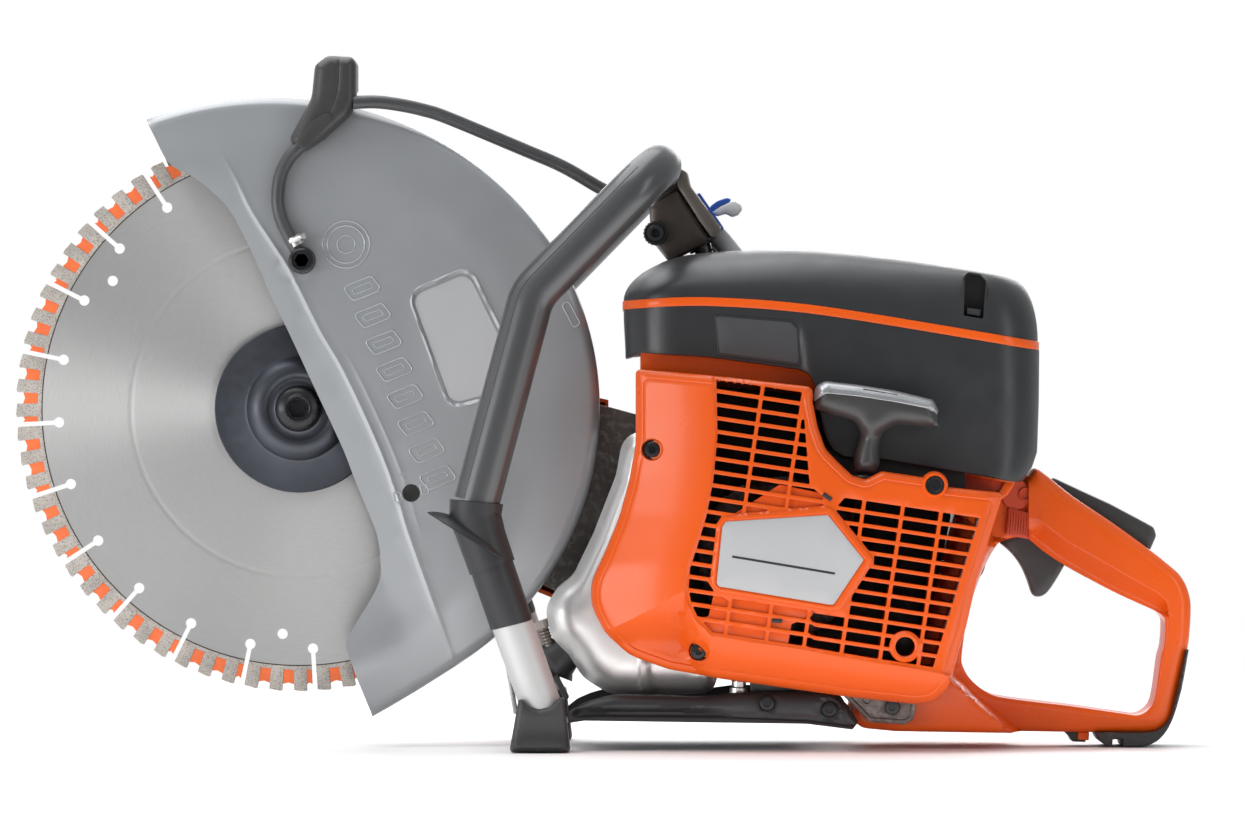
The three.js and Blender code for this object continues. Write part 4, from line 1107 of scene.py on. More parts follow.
piece("starter_cover_eye_core", turned([(5.55, -99), (5.55, -112.5), (4.4, -112.5), (4.0, -112.1), (0, -112.1)],
    EYE_AT, sides=32), "bolt", slot="black_plastic")
GUIDE_AT, up = (159.0, -93, 164.6), Vector((0.0872, 0, 0.9962))
collar = turned([(4.4, -6), (9.6, -6), (9.4, -1.5), (8.4, 0.4), (6.6, 0.6), (4.4, 0.2)], GUIDE_AT, up, sides=36, m=0)
piece("rope_guide_collar", collar, "orange")
bush = turned([(3.2, -3), (6.6, 0.2), (7.0, 1.6), (6.2, 2.8), (4.2, 3.0), (3.2, 1.6), (3.2, -3)], GUIDE_AT, up,
    sides=36, caps=False)
piece("rope_guide_bush", bush, "black")
# a black sheet behind the grille: painted shade, dark where the cover's inside lies in shadow; it is open round the
# crank axis
grille_shade_outline = rounded([(24, 226), (122, 216), (124, 184, 4), (222, 176), (222, 158), (212, 152), (213, 142), (195, 55),
    (182, 38, 8), (60, 54, 20), (6, 76, 20), (-2, 100, 20), (20, 160, 30)])[::-1]
piece("grille_painted_shade_sheet", slab(grille_shade_outline, -70.5, -69, 0.4, holes=[circle(109, 117, 50.7, 60)]), "black")
# the shelf's face takes the darker orange, painted shade under the top cover; its rim and corner keep the plain
# orange
shelf = slab(rounded([(217, 169.4, 1), (251.8, 163.2, 1), (246, 156, 2), (240, 150, 2), (217, 152, 1)])[::-1], -61,
    -57, 0.5, grid=6, m=1)
shelf += slab(rounded([(216.6, 170.4, 0.6), (253, 164, 0.6), (252, 162, 0.6), (216.6, 168.6, 0.6)])[::-1], -64, -57,
    0.5, grid=6)
shelf += slab(rounded([(246.6, 163.6, 1), (253, 163, 1), (248, 155, 1), (243.6, 152, 1), (241.6, 155, 1)])[::-1], -64,
    -57, 0.8, grid=6)
piece("tank_shelf", shelf, ["orange", "orange_dark"])


# ---- top cover: lid, trim and filter housing ----
HALF = 75.0  # half the width of the cover


def plan_view(step):
    """The cover's outline from above, and the point on its middle line that each point of it moves towards."""
    outline = dense(rounded([(13, -78, 34), (268, -78, 30), (268, 72, 30), (13, 72, 34)], step=0.09), step)
    return outline, np.stack([np.clip(outline[:, 0], 88, 193), np.full(len(outline), -3.0)], 1)


PLAN, SPINE = plan_view(5.0)


def inset(d):
    return PLAN + (SPINE - PLAN) * (np.minimum(d, HALF - 0.3) / HALF)


def stripe_top(x):
    return np.interp(x, [12, 40, 62, 95, 125, 150, 178, 269], [273.5, 275.6, 276, 274.4, 271.6, 268, 263.6, 248.3])


LINE_X = np.linspace(10, 272, 132)
LINE_Z = np.convolve(np.pad(stripe_top(LINE_X), 8, mode="edge"), np.ones(17) / 17, "valid")
LINE_Z += (stripe_top(LINE_X) - LINE_Z) * 0.35


def line_z(x):
    return np.interp(x, LINE_X, LINE_Z)


TOP_X = curve([(10, 297.5), (44, 301), (71, 303.4), (104, 304.6), (135, 303.6), (179, 299), (225, 292.4), (246, 289),
    (272, 284)], n=6)


def lid_z(x, d):
    width = np.interp(x, [13, 70, 160, 230, 268], [45, 42, 32, 20, 14])
    t = np.clip(1 - d / width, 0, 1)
    return line_z(x) + (np.interp(x, TOP_X[:, 0], TOP_X[:, 1]) - line_z(x)) * np.sqrt(1 - t * t)


rings = []
for d in (0.7, 0.75, 0.9, 1.2, 1.7, 2.4, 3.4, 4.8, 6.6, 9, 12, 15.5, 20, 25, 31, 38, 46, 56, 66, 74.9):
    p = inset(d)
    z = lid_z(p[:, 0], d - 0.7) + 1.2 * (smooth(d / HALF) if d > 20 else 0)
    rings.append(np.stack([p[:, 0], p[:, 1], z], 1))
lid = skin(rings, caps=False)
lid.f.append(tuple(len(lid.v) - len(PLAN) + i for i in range(len(PLAN))))
lid.m.append(0)
slot_cut = slab(rounded([(220.6, 264.5, 1), (232.6, 262.5, 1), (234.4, 285, 3.5), (231, 289, 3), (223, 290.5, 3),
    (221.4, 287.5, 2)]), -120, -62, 0)


def carve(obj, geo):
    """Cuts a closed shape out of a piece whose origin is the frame's, and leaves a plain mesh."""
    cutter = bpy.data.objects.new("cutter", mesh_of("cutter", geo, Vector()))
    scene.collection.objects.link(cutter)
    cut = obj.modifiers.new("cut", "BOOLEAN")
    cut.object, cut.operation, cut.solver = cutter, "DIFFERENCE", "EXACT"
    keep_modified(obj)
    bpy.data.objects.remove(cutter)
    shade(obj.data, 32)


lid_piece = piece("filter_lid", lid, "graphite", replaces=["air_filter_lid"], thickness=2.4, closed=False, angle=40)
carve(lid_piece, slot_cut)
pocket = slab(rounded([(219.6, 263.4, 1), (233.6, 261.4, 1), (235.4, 285, 4), (231, 290, 3), (223, 291.3, 3),
    (220.4, 288, 2)]), -74.6, -62, 0.4)
pocket_piece = piece("lid_latch_pocket", pocket, "black")
carve(pocket_piece, slab(rounded([(220.8, 264.7, 1), (232.4, 262.8, 1), (234.2, 285, 3.5), (231, 288.8, 3),
    (223, 290.2, 3), (221.6, 287.5, 2)]), -80, -63.2, 0))
latch = slab(rounded([(222.6, 265.4, 0.6), (231, 264, 0.6), (231.4, 268.2, 0.6), (222.8, 269.4, 0.6)]), -73.5, -63.4,
    0.5, grid=4)
piece("lid_latch", latch, "grip", slot="black_plastic")


def band_ring(d, z):
    p = inset(d)
    return np.stack([p[:, 0], p[:, 1], line_z(p[:, 0]) + z], 1)


trim = skin([band_ring(3, -5.4), band_ring(0.6, -5.4), band_ring(0.15, -5.2), band_ring(0, -4.8), band_ring(0, -0.6),
    band_ring(0.15, -0.2), band_ring(0.6, 0), band_ring(3, 0), band_ring(3, -5.4)], caps=False)
piece("cover_stripe", trim, "orange", replaces=["cover_trim"])

BOTTOM = np.array([(10, 238), (16, 239.5), (21, 242), (67, 239), (121, 231.6), (126.5, 229), (130.5, 222), (134, 200),
    (137, 190), (141.5, 182), (148, 178.4), (156, 177.6), (171, 177), (250, 164), (258, 163), (262.6, 164),
    (266, 171), (269, 184), (272, 200)])


def bottom_z(x):
    return np.interp(x, BOTTOM[:, 0], BOTTOM[:, 1])


FINE, FINE_SPINE = plan_view(2.2)
rings = []
for s, d in [(0, 0.7)] + [(s, 0.7) for s in (0.06, 0.14, 0.24, 0.36, 0.5, 0.64, 0.78, 0.9, 0.97)] + [(0.993, 0.9),
        (1, 1.6), (1, 3), (1, 20), (1, 50), (1, 74.9)]:
    p = FINE + (FINE_SPINE - FINE) * (d / HALF)
    x = FINE[:, 0] if d < 2 else p[:, 0]
    top, low = line_z(p[:, 0]) - 5.4, bottom_z(x)
    z = top + (low - top) * s
    right = np.clip((p[:, 0] - 200) / 68, 0, 1) ** 3
    px = p[:, 0] - right * (268 - np.interp(z, [160, 164, 172, 182, 211, 248], [261, 262, 265.6, 267.6, 268.6, 269]))
    px = px + (1.2 * smooth((z - 238) / 30) - 1.2) * -np.clip((40 - p[:, 0]) / 27, 0, 1)
    bulge = 2.4 * smooth((p[:, 0] - 119 - 0.12 * (250 - z)) / 6) * smooth((top - z) / 14)
    side = np.sign(p[:, 1] + 3) * np.clip((np.abs(p[:, 1] + 3) - 40) / 30, 0, 1)
    rings.append(np.stack([px, p[:, 1] + side * bulge, z], 1))
housing = skin(rings, caps=False)
housing.f.append(tuple(len(housing.v) - len(FINE) + i for i in range(len(FINE))))
housing.m.append(0)
housing.f = [x[::-1] for x in housing.f]
piece("filter_housing_shell", housing, "graphite", replaces=["air_filter_housing"], thickness=2.2, closed=False,
    angle=36)
badge = rounded([(68.5, 265.5, 1.5), (116, 261.5, 3), (120.5, 257, 3), (122, 233.5, 2.5), (71, 240.2, 1.5)])[::-1]
rim_line = slab(badge, -78.0, -76.5, 0.5)
inner = rounded([(70, 264, 1.2), (115.4, 260.2, 3), (119, 256.4, 3), (120.4, 235.2, 2), (72.4, 241.8, 1.2)])[::-1]
piece("cover_badge_panel", rim_line + slab(inner, -78.3, -77, 0.25, m=1), ["graphite", "label_dark"])


# ---- rear handle and tank, in two halves ----
HANDLE = np.array([*curve([(264, 166.5), (266.6, 170.2), (269.8, 170.4), (279.3, 162.8), (291.3, 153.4),
    (315.2, 137.5), (339.2, 120.1), (350, 111.4), (355.8, 106.2), (360.2, 99.2), (362.7, 91), (363.2, 84.1),
    (362.6, 72), (361, 58.8), (355.4, 34.8), (352.2, 18.8), (348.8, 12.6), (342.6, 8.9), (334, 8.3)], n=3),
    *rounded([(293, 8.6), (228, 9.6, 40), (180, 10.4, 30), (152.5, 13, 10), (158, 60, 10), (196, 76, 14),
    (216, 144, 12), (236, 160, 8), (258, 165)], False)])[::-1]
LOOP = curve([(341, 83.6), (345.2, 80.6), (347.2, 76), (346.4, 62.2), (344.4, 54.3), (341.1, 31.8), (337.8, 23.8),
    (330.6, 19.4), (320.5, 20.4), (287.4, 25.1), (254.2, 29.1), (239.4, 32.3), (228.4, 40.2), (222.6, 49), (222, 58),
    (226.3, 84.8), (233, 106), (242, 122), (247.4, 126.6), (260.8, 128.6), (272, 120.4), (284.7, 112), (313.9, 96.1),
    (333.8, 86.8)], closed=True, n=4)[::-1]
TOP_LINE = np.array([(266, 150), (270.8, 146), (271.4, 137.8), (287.4, 125.9), (333.8, 99.4), (344.4, 93.4),
    (348.4, 88.8), (349, 80)])
LIP_LINE = np.array([(258, 136), (262.2, 132.5), (283.4, 116), (313.9, 98.9), (340.4, 86.6), (347, 82.2)])
LOW_LINE = np.array([(150, 46), (200, 41), (219.9, 35.3), (240.9, 27.8), (287.4, 21.2), (327.1, 16.5), (343, 16.5)])
TRIGGER_SLOT = np.array([(236, 130), (252, 156), (276, 156), (306, 112), (292, 96), (240, 100)])
LOCK_SLOT = np.array([(270, 170), (290, 175), (360, 124), (345, 98), (328, 104), (278, 148)])


def tank_weight(P):
    edge = np.interp(P[:, 1], [0, 9, 31, 44, 62, 88, 108, 124, 136, 150], [262, 258, 232, 219, 220, 229, 237, 243,
        238, 214])
    return smooth((edge - P[:, 0]) / 7)


def handle_height(P):
    x, z = P.T
    half = 24 + 32 * tank_weight(P)
    drop = roll(distance(P, HANDLE), 8, 7) + roll(distance(P, LOOP), 2.4, 1.6)
    to_top, to_lip = distance(P, TOP_LINE, False), distance(P, LIP_LINE, False)
    under = (z < np.interp(x, TOP_LINE[:, 0], TOP_LINE[:, 1])) & (x > 263) & (x < 349)
    share = np.where(z < np.interp(x, LIP_LINE[:, 0], LIP_LINE[:, 1]), 1, to_top / (to_top + to_lip + 1e-6))
    drop = np.maximum(drop, 6.5 * share * under * smooth((z - 78) / 7))
    line = np.interp(x, LOW_LINE[:, 0], LOW_LINE[:, 1])
    drop = np.maximum(drop, 2.6 * np.clip((line - z) / (line - 9), 0, 1) * smooth((350 - x) / 10))
    neck = smooth((263 - x) / 1.5) * smooth((z - 126) / 2) * (1 - tank_weight(P))
    return -(half - drop - 5.5 * neck)


def handle_back(P):
    return np.where(inside(P, TRIGGER_SLOT) | inside(P, LOCK_SLOT), -9.2, -0.25)


handle = relief(HANDLE, handle_height, handle_back, [LOOP], grid=4.0, rings=(0.15, 0.6, 1.4, 2.6, 4.2, 6.2, 8.5),
    lines=[(TRIGGER_SLOT, True, (0, -0.3)), (LOCK_SLOT, True, (0, -0.3)), (TOP_LINE[1:], False, (-0.6, 0, 0.6, 3, 6)),
    (LIP_LINE[1:], False, (-0.5, 0, 0.5)), (LOW_LINE, False, (-0.6, 0, 0.6)), (np.array([(262, 126), (262, 164)]),
    False, (-1, 0, 1)), (np.array([(258, 9), (232, 31), (219, 44), (220, 62), (229, 88), (237, 108), (243, 124),
    (238, 136), (214, 150)]), False, (0, 2, 4, 6, 8, -1))])
piece("handle_near_half", handle, "orange", replaces=["tank_handle_left"], angle=50)
piece("handle_far_half", handle.mirrored(), "orange", replaces=["tank_handle_right"], angle=50)
# the neck's ribs, sleeve and boss are drawn in the darker orange: painted shade under the top cover
ribs = Geo()
for i in range(9):
    x = 250.4 + 1.62 * i
    ribs += slab(np.array([(x - 0.6, 131 - 0.2 * i), (x + 0.3, 130.9 - 0.2 * i), (x + 1.3, 145.8 - 0.3 * i),
        (x + 0.4, 145.9 - 0.3 * i)]), -23.4, -17, 0.4, grid=6)
ribs += slab(rounded([(248.4, 130.6, 1.5), (263, 127.4, 1.5), (266.6, 143.2, 1.5), (250.2, 147.4, 1.5)]), -22.2, -15,
    0.8, grid=6)
ribs += turned([(9.4, -16), (9.4, -20), (8.6, -21), (0, -21)], (255.4, 0, 154.6), sides=44)
ribs += turned([(3.0, -20), (3.0, -22.2), (3.4, -22.6), (4.0, -22.6), (4.3, -22.2), (4.3, -20), (3.0, -20)],
    (261.2, 0, 155.2), sides=28, caps=False)
piece("handle_neck_sleeve", ribs, "orange_dark")
latch_bits = slab(rounded([(286, 8.2, 0.8), (289, 5.4, 0.8), (290.4, 2.6, 0.8), (298.4, 2.4, 0.8), (299.6, 9.4, 0.8),
    (286, 9.6, 0.8)]), -16, 16, 0.6, grid=5, m=1)
latch_bits += slab(rounded([(293.6, 4.0, 0.8), (300.4, 3.4, 0.8), (300.8, 8.4, 0.6), (293.8, 8.6, 0.6)]), -17.4, 17.4,
    0.6, grid=5)
piece("handle_latch", latch_bits, ["orange", "rubber"])
FOOT = np.array([*rounded([(304, 8.8), (304.6, 7.2), (306.5, 3.4, 4), (311, 0.1, 3), (314.2, 0, 0.6),
    (314.6, 4.4, 0.8), (320.4, 4.4, 0.8), (320.9, 0, 0.6), (333, 0)], False), *curve([(334, 0), (341.5, 3),
    (347.4, 9), (351.6, 17), (354.6, 26), (357.4, 37), (359.2, 47), (361.4, 59.6)], n=3), (359.6, 59.6), (354.6, 36),
    (350.6, 19.4), (346.6, 13.2), (341, 9.6), (334, 8.8)])
piece("rear_foot_pad", slab(FOOT, -28, 28, 2.6, grid=6), "rubber", replaces=["rear_foot"])
TRIGGER = np.array([(261, 148.5), (274, 149.5), (288, 112.4), *curve([(286, 111), (281, 102.4), (276.4, 95.6),
    (272.6, 92.4), (268.4, 91.8), (265.8, 94), (263.4, 101), (259.6, 110), (253.6, 118.4), (246.4, 124.8)], n=3),
    (247.4, 128), (256, 132)])
piece("throttle_trigger_blade", slab(TRIGGER, -7.4, 7.4, 2.2, grid=4), "grip", body="trigger",
    replaces=["throttle_trigger"])
LOCK = rounded([(276, 160.6, 2), (278.4, 165.8, 2.4), (314.9, 148.9, 120), (341.2, 134.8, 4.6), (342.8, 129.4, 4),
    (338.6, 119.6, 3), (325, 122, 4), (283, 147, 6)])
piece("throttle_lockout_lever", slab(LOCK, -6.9, 6.9, 2.0, grid=5), "grip", body="lockout",
    replaces=["throttle_lockout"])

# ---- starter grip and rope ----
T_GRIP = rounded([(128.2, 211, 2.5), (131, 221, 4), (136, 224, 4), (155, 221.8, 30), (178, 218.2, 60),
    (201, 212.6, 3.5), (204.2, 206, 3), (204.8, 196.6, 1), (198, 196.6, 8), (178, 198.4, 9), (170, 193, 9),
    (168.6, 182, 14), (169.4, 175, 6), (166.2, 168.2, 3), (153.8, 168.4, 3), (152.8, 176, 6), (154.6, 184, 14),
    (157.6, 192.5, 8), (154.4, 200.2, 8), (139, 204.4, 14), (129.2, 207.8, 1)])[::-1]


def t_height(P):
    d = distance(P, T_GRIP)
    stem = smooth((198 - P[:, 1]) / 8)
    return -105.6 + roll(d, 9, 9.5) + 3.6 * stem


piece("starter_grip_body", relief(T_GRIP, t_height, lambda P: -80.4 - roll(distance(P, T_GRIP), 9, 9.5),
    rings=(0.2, 0.7, 1.5, 2.8, 4.4, 6.2), grid=3), "grip", body="grip", replaces=["starter_grip"])
T_CAP = rounded([(127.6, 211.6, 1.5), (130.6, 221.6, 4), (135.8, 224.6, 4), (155, 222.4, 30), (178, 218.8, 60),
    (201.4, 213.2, 3.6), (204.6, 206.2, 2), (203.4, 203.6, 1), (180, 207.8, 30), (155, 211.6, 30),
    (136, 213.4, 5)])[::-1]


def cap_height(P):
    return -106.2 + roll(distance(P, T_CAP), 7, 8.5)


cap = relief(T_CAP, cap_height, lambda P: -79.8 - roll(distance(P, T_CAP), 7, 8.5), rings=(0.15, 0.5, 1.2, 2.4, 4.2),
    grid=3)
recess = rounded([(156.5, 216.2, 2), (158, 220.2, 1.6), (180.6, 216.4, 1.6), (179.4, 212.2, 2)])
cap += slab(recess, -104.2, -101.4, 0.7, grid=5, m=1)
piece("starter_grip_cap", cap, ["grip_silver", "grip"], body="grip")
rope = [(140.5, -93, 112), (148, -93, 131), (155, -93, 149), (159.2, -93, 160), (160.6, -93, 172), (161.2, -93, 184)]
piece("starter_rope_run", tube(curve(rope, n=5), 2, 12), "rope", body=("chassis", "grip", (0.1594, -0.093, 0.160),
    (0.1606, -0.093, 0.170)), replaces=["starter_rope"])

# ---- front handle ----
LEG = 92


def leg_path(side, points):
    return bent([(x, side * LEG, z, *r) for x, z, *r in points])


hoop = bent([(-75.4, -LEG, 151.2), (-71.5, -LEG, 166, 10), (-42, -LEG, 277, 30), (35, -LEG, 356, 28), (35, LEG, 356,
    28), (-42, LEG, 277, 30), (-71.5, LEG, 166, 10), (-75.4, LEG, 151.2)], step=0.08)
piece("front_grip_cover", tube(hoop, 14.0, 40), "grip_gloss", replaces=["handle_grip"], angle=50)
seams = Geo()
for angle in (35, 62):
    pts = []
    for i, p in enumerate(hoop):
        t = (hoop[min(i + 1, len(hoop) - 1)] - hoop[max(i - 1, 0)]).normalized()
        if p.y > 60 or abs(t.y) > 0.5:
            break
        side = Vector((0, -1, 0))
        side = (side - t * side.dot(t)).normalized()
        u = t.cross(side)
        a = math.radians(angle)
        pts.append(p + (side * math.cos(a) - u * math.sin(a)) * 13.95)
    seams += tube(pts, 0.28, 6)
piece("front_grip_seams", seams, "grip_gloss")
legs, collars, sleeves = Geo(), Geo(), Geo()
for side in (NEAR, FAR):
    legs += tube(leg_path(side, [(-31.5, 13.5), (-53.5, 76), (-57, 86)]), 12.5, 36)
    path = leg_path(side, [(-75.6, 151.4), (-76.4, 143, 12), (-72.6, 130.5, 20), (-66, 111.6)])
    high = [p.z for p in path]
    collars += tube(path, list(np.interp(high, [111.6, 122, 133, 151.4], [14.4, 14.0, 15.0, 16.4])), 40)
    sleeves += tube(leg_path(side, [(-66.4, 112.4), (-54.6, 78.2), (-54.2, 76.6)]), [13.3, 13.2, 12.9], 40)
    ex, ez = Vector((52.6, 0, -32.2)).normalized(), Vector((32.2, 0, 52.6)).normalized()
    lens = turned([(0, 3.2), (8, 3.1), (15, 2.6), (24, 1.2), (29.4, 0.0), (30.6, -0.2), (30.4, 0.5), (27, 2.9),
        (22, 5.0), (15, 7.0), (8, 8.2), (0, 8.6)], (0, 0, 0), (0, 0, 1), sides=64)
    frame_m = Matrix(((ex.x, 0, ez.x, -79.3), (0, 1, 0, side * LEG), (ex.z, 0, ez.z, 128.9),
        (0, 0, 0, 1))) @ Matrix.Diagonal((1, 0.62, 1, 1))
    collars += lens.moved(frame_m)
piece("front_handle_legs", legs, "tube", replaces=["front_handle_tube"])
piece("front_handle_collars", collars, "sleeve")
piece("front_handle_sleeves", sleeves, "sleeve", replaces=["handle_sleeve"])
PAD = rounded([(-55.5, 0, 2), (-18.5, 0, 2), (-22.6, 33.4, 1.6), (-26.4, 31.6, 3), (-31, 27.4, 5), (-38, 25.6, 6),
    (-44, 28, 5), (-49.8, 33.2, 1.6)])


def pad(side, dx):
    y0 = side * LEG - 20
    shape = rounded([(x + dx, z) for x, z in PAD])

    def front(P):
        d = distance(P, shape)
        flare = 2.6 * smooth((8 - P[:, 1]) / 4)
        return y0 + 3.2 + roll(d, 4.5, 4) - flare * smooth(d / 3)

    return relief(shape, front, lambda P: 2 * (side * LEG) - front(P), rings=(0.2, 0.8, 1.8, 3.2), grid=4)


piece("near_foot_pad", pad(NEAR, 0), "rubber", replaces=["foot_left"])
piece("far_foot_pad", pad(FAR, 0), "rubber", replaces=["foot_right"])
piece("far_leg_strap", slab(rounded([(-60.5, 47.5, 1), (-57.6, 47.8, 1), (-52.6, 17, 1), (-55.4, 16.6, 1)])[::-1], 60,
    78, 0.4, grid=6), "steel")

# ---- base bracket ----
BAR = rounded([(-20.6, 16.2, 1), (-21.4, 21.4, 2), (-15.6, 26.2, 14), (-7, 30, 30), (8, 34.0, 40), (64, 32.4, 80),
    (82, 34.8, 20), (139.5, 34.8, 12), (150, 28, 10), (157, 16.4, 2), (153, 12.4, 1), (126, 15.8, 20), (76, 17.8, 60),
    (-8, 18.2, 30)])[::-1]
BAR_LINE = np.array([(-20.6, 16.2), (-8, 18.2), (76, 17.8), (126, 15.8), (153, 12.4)])


BAR_SCREWS = ((101, 28.4), (139, 24.6))


def bar_height(P):
    d = distance(P, BAR)
    low = distance(P, BAR_LINE, False)
    y = -72.6 + roll(d, 7, 6.5) * smooth((low - 1) / 3)
    y = y + 2.2 * smooth((low - 2) / 1.5) * smooth((8 - low) / 3) * smooth((80 - P[:, 0]) / 20)
    y = y - 1.6 * smooth((2.2 - low) / 0.8)
    for at in BAR_SCREWS:
        y = y + 1.0 * (1 - smooth((reach(P, at) - 6) / 1.2))
    return y


cheek = relief(BAR, bar_height, -66.5, rings=(0.2, 0.8, 1.6, 2.2, 3.2, 5, 7), grid=3.5)
floor_plate = slab(np.array([(-16, 17.6), (128, 15.6), (128, 19.4), (-16, 21.4)]), -68, 68, 0.6, grid=10)
piece("base_bracket_bars", cheek + cheek.mirrored() + floor_plate, "black_steel", slot="black_steel",
    replaces=["base_bracket"])
bolts = Geo()
for at in BAR_SCREWS:
    bolts += socket_screw(at[0], -72.0, at[1], 5.0)
    bolts += socket_screw(at[0], 72.0, at[1], 5.0, side=FAR)
piece("base_bracket_screws", bolts, "bolt")
damper = turned([(0, -17), (6, -17), (6, -12), (14, -10), (11.5, -6), (11, 0), (11.5, 6), (14, 10), (6, 12), (6, 17)],
    (-24, 38, 54), (math.cos(math.radians(55)), 0, math.sin(math.radians(55))), sides=32)
piece("rubber_damper_body", damper, "rubber", replaces=["rubber_damper"])
near_damper = turned([(0, -14), (9, -14), (12.6, -11), (11.4, -5), (11, 2), (12.6, 9), (9, 13), (0, 13)],
    (-21, -30, 59), (math.cos(math.radians(40)), 0, math.sin(math.radians(40))), sides=32)
near_damper += slab(rounded([(-29.5, 43, 1), (-26.5, 44, 1), (-19.6, 30.5, 1), (-22.4, 29, 1)])[::-1], -44, -20, 0.5,
    grid=6)
piece("engine_isolator", near_damper, "rubber")
stud = turned([(3.0, -9), (3.0, 9)], (-33.6, -34, 67), (-0.34, 0, 1), sides=14)
for i in range(9):
    stud += turned([(3.0, -8 + i * 2), (3.6, -7.4 + i * 2), (3.0, -6.8 + i * 2)], (-33.6, -34, 67), (-0.34, 0, 1),
        sides=14, caps=False)
stud += turned([(5.6, -2, 6), (5.6, 3, 6)], (-36.3, -34, 75), (-0.34, 0, 1), sides=24)
piece("engine_stud", stud, "plate", slot="dark_steel")

# ---- muffler ----
CAN = rounded([(14, 195, 14), (9, 167, 30), (-5, 131, 40), (-17, 106, 16), (-27, 98, 12), (-34.4, 86, 16),
    (-31, 68, 16), (-20, 57, 14), (-11, 43, 20), (5, 33, 18), (22.4, 32.4), (23, 31.2), (25.6, 31.2), (26.2, 32.4),
    (39, 32.4, 40), (68, 33.4, 14), (72, 45, 12), (58, 78, 20), (57, 120, 20), (43, 192, 16)])
MUFFLER_RIDGE = np.array([(20, 186), (15, 165), (2, 128), (-10, 103)])


def soft(P, field, r):
    """The mean of a field over a small disc, which rounds its creases."""
    ring = [(0, 0)] + [(r * math.cos(a), r * math.sin(a)) for a in (2 * math.pi * k / 8 for k in range(8))]
    return sum(field(P + np.array(o)) for o in ring) / len(ring)


def can_raw(P):
    d = np.minimum(distance(P, CAN), np.where(inside(P, CAN), 99, 0))
    return roll(d, 20, 19) - 2.2 * np.exp(-(distance(P, MUFFLER_RIDGE, False) / 4.5) ** 2)


def can_height(P):
    x, z = P.T
    y = -59 + soft(P, can_raw, 3.0)
    y = y - 1.3 * np.exp(-((x - 24.4) / 1.3) ** 2) * smooth((90 - z) / 20)
    return y + 5 * smooth((x - 27) / 4) * smooth((80 - z) / 20)


can = relief(CAN, can_height, lambda P: -42 - can_height(P), rings=(0.2, 0.8, 2, 4, 7, 11, 16), grid=4,
    lines=[(np.array([(24.4, 36), (24.4, 100)]), False, (-3, -1.6, -0.8, 0, 0.8, 1.6, 3)), (MUFFLER_RIDGE, False,
    (-4, -2, 0, 2, 4))])
piece("muffler_can", can, "muffler", replaces=["muffler_front_shell", "muffler_rear_shell"], angle=40)


# ---- water valve, lever and hoses ----
PLATE_PATH = rounded([(48.2, 357, 1), (53.4, 354, 3), (55.2, 345.6, 8), (74.6, 319.4, 2.4), (69.4, 311.6, 2.4),
    (60.6, 323.6, 20), (47.4, 344.4, 4), (45, 352, 3)])
piece("valve_bracket_plate", slab(PLATE_PATH, -2, 42, 1.6, grid=5), "plate", replaces=["valve_bracket"])
BODY = rounded([(29.5, 333.5, 4), (47, 344.6, 2), (68, 312.8, 2), (64, 309.6, 3), (42, 298.8, 3), (31, 313, 6)])
body = slab(BODY, 2, 39, 4, grid=5) + slab(rounded([(49.5, 355.5, 2), (32.6, 338.4, 3), (37, 331, 2), (55, 332, 3),
    (55, 346, 3)]), 8, 34, 2, grid=5)
piece("valve_body_block", body, "valve", replaces=["valve_body"])
ends = turned([(7.4, 4), (7.4, -2), (7.0, -3), (6.4, -3), (6.2, -2.2), (5.4, -2.2), (5.2, -4.2), (4.8, -4.8),
    (2.8, -4.8), (2.5, -3.6, 6), (2.4, -1, 6), (0, -1)], (33.5, 0, 316.4), sides=40)
ends += knurl(33.5, 316.4, 7.3, 4, -1.8, 0.5, 20)
piece("valve_end_fitting", ends, "black")


def wire_ring(at, axis, r, wire, start):
    """A turn of wire with a gap in it."""
    turn, steps = 330, 28
    axis = Vector(axis).normalized()
    u = Vector((0, -1, 0))
    u = (u - axis * axis.dot(u)).normalized()
    w = axis.cross(u)
    pts = [Vector(at) + (u * math.cos(a) + w * math.sin(a)) * r for a in (math.radians(start + turn * i / steps)
        for i in range(steps + 1))]
    return tube(pts, wire, 8)


wires = Geo()
for shift in (0, 2.0):
    wires += wire_ring((35.5 - shift * 0.75, 19, 329.5 + shift * 0.3), (-0.9, -0.1, 0.42), 5.0, 0.6, start=20)
    wires += wire_ring((61.5, 30, 307.6 + shift), (0.45, 0, -0.9), 6.6, 0.7, start=-40)
wires += tube([(55.8, 24, 306), (55, 23, 309.6), (57, 22, 311)], 0.7, 8)
wires += tube([(67.4, 24.5, 306), (70, 24, 307.6), (71.6, 24, 305)], 0.7, 8)
piece("valve_hose_wires", wires, "steel")
stub = tube([(71, 26, 316.4), (75, 26, 312), (84, 26, 301)], 6.2, 24)
piece("valve_vent_stub", stub, "hose_light")
down = tube([(60, 30, 316), (62.5, 30, 309), (66, 30, 298)], 5.6, 24)
piece("valve_drain_stub", down, "hose")
blue_plate = rounded([(58.6, 340.6, 1), (60.8, 341.8, 1), (76, 319.6, 1), (73.8, 318.2, 1)])
piece("valve_blue_plate", slab(blue_plate, 6, 34, 0.5, grid=6), "blue", body="tap_lever")
STEM = rounded([(66.8, 332.2, 0.4), (68.2, 334.2, 1.6), (72, 337, 6), (77.6, 338.8, 3), (81, 338, 1),
    (78.8, 335.4, 2), (73, 333.2, 4), (71, 331.4, 1.6), (69.2, 329.2, 0.4)])
PADDLE = rounded([(68.2, 329.4, 0.8), (73.4, 333.2, 3), (78.6, 335.6, 3), (82.2, 337.2, 3), (86.4, 335, 2.4),
    (87.4, 331.6, 2.4), (84.8, 328, 2.2), (81, 326.8, 2.4), (77.4, 329, 3), (72, 327.4, 2)])
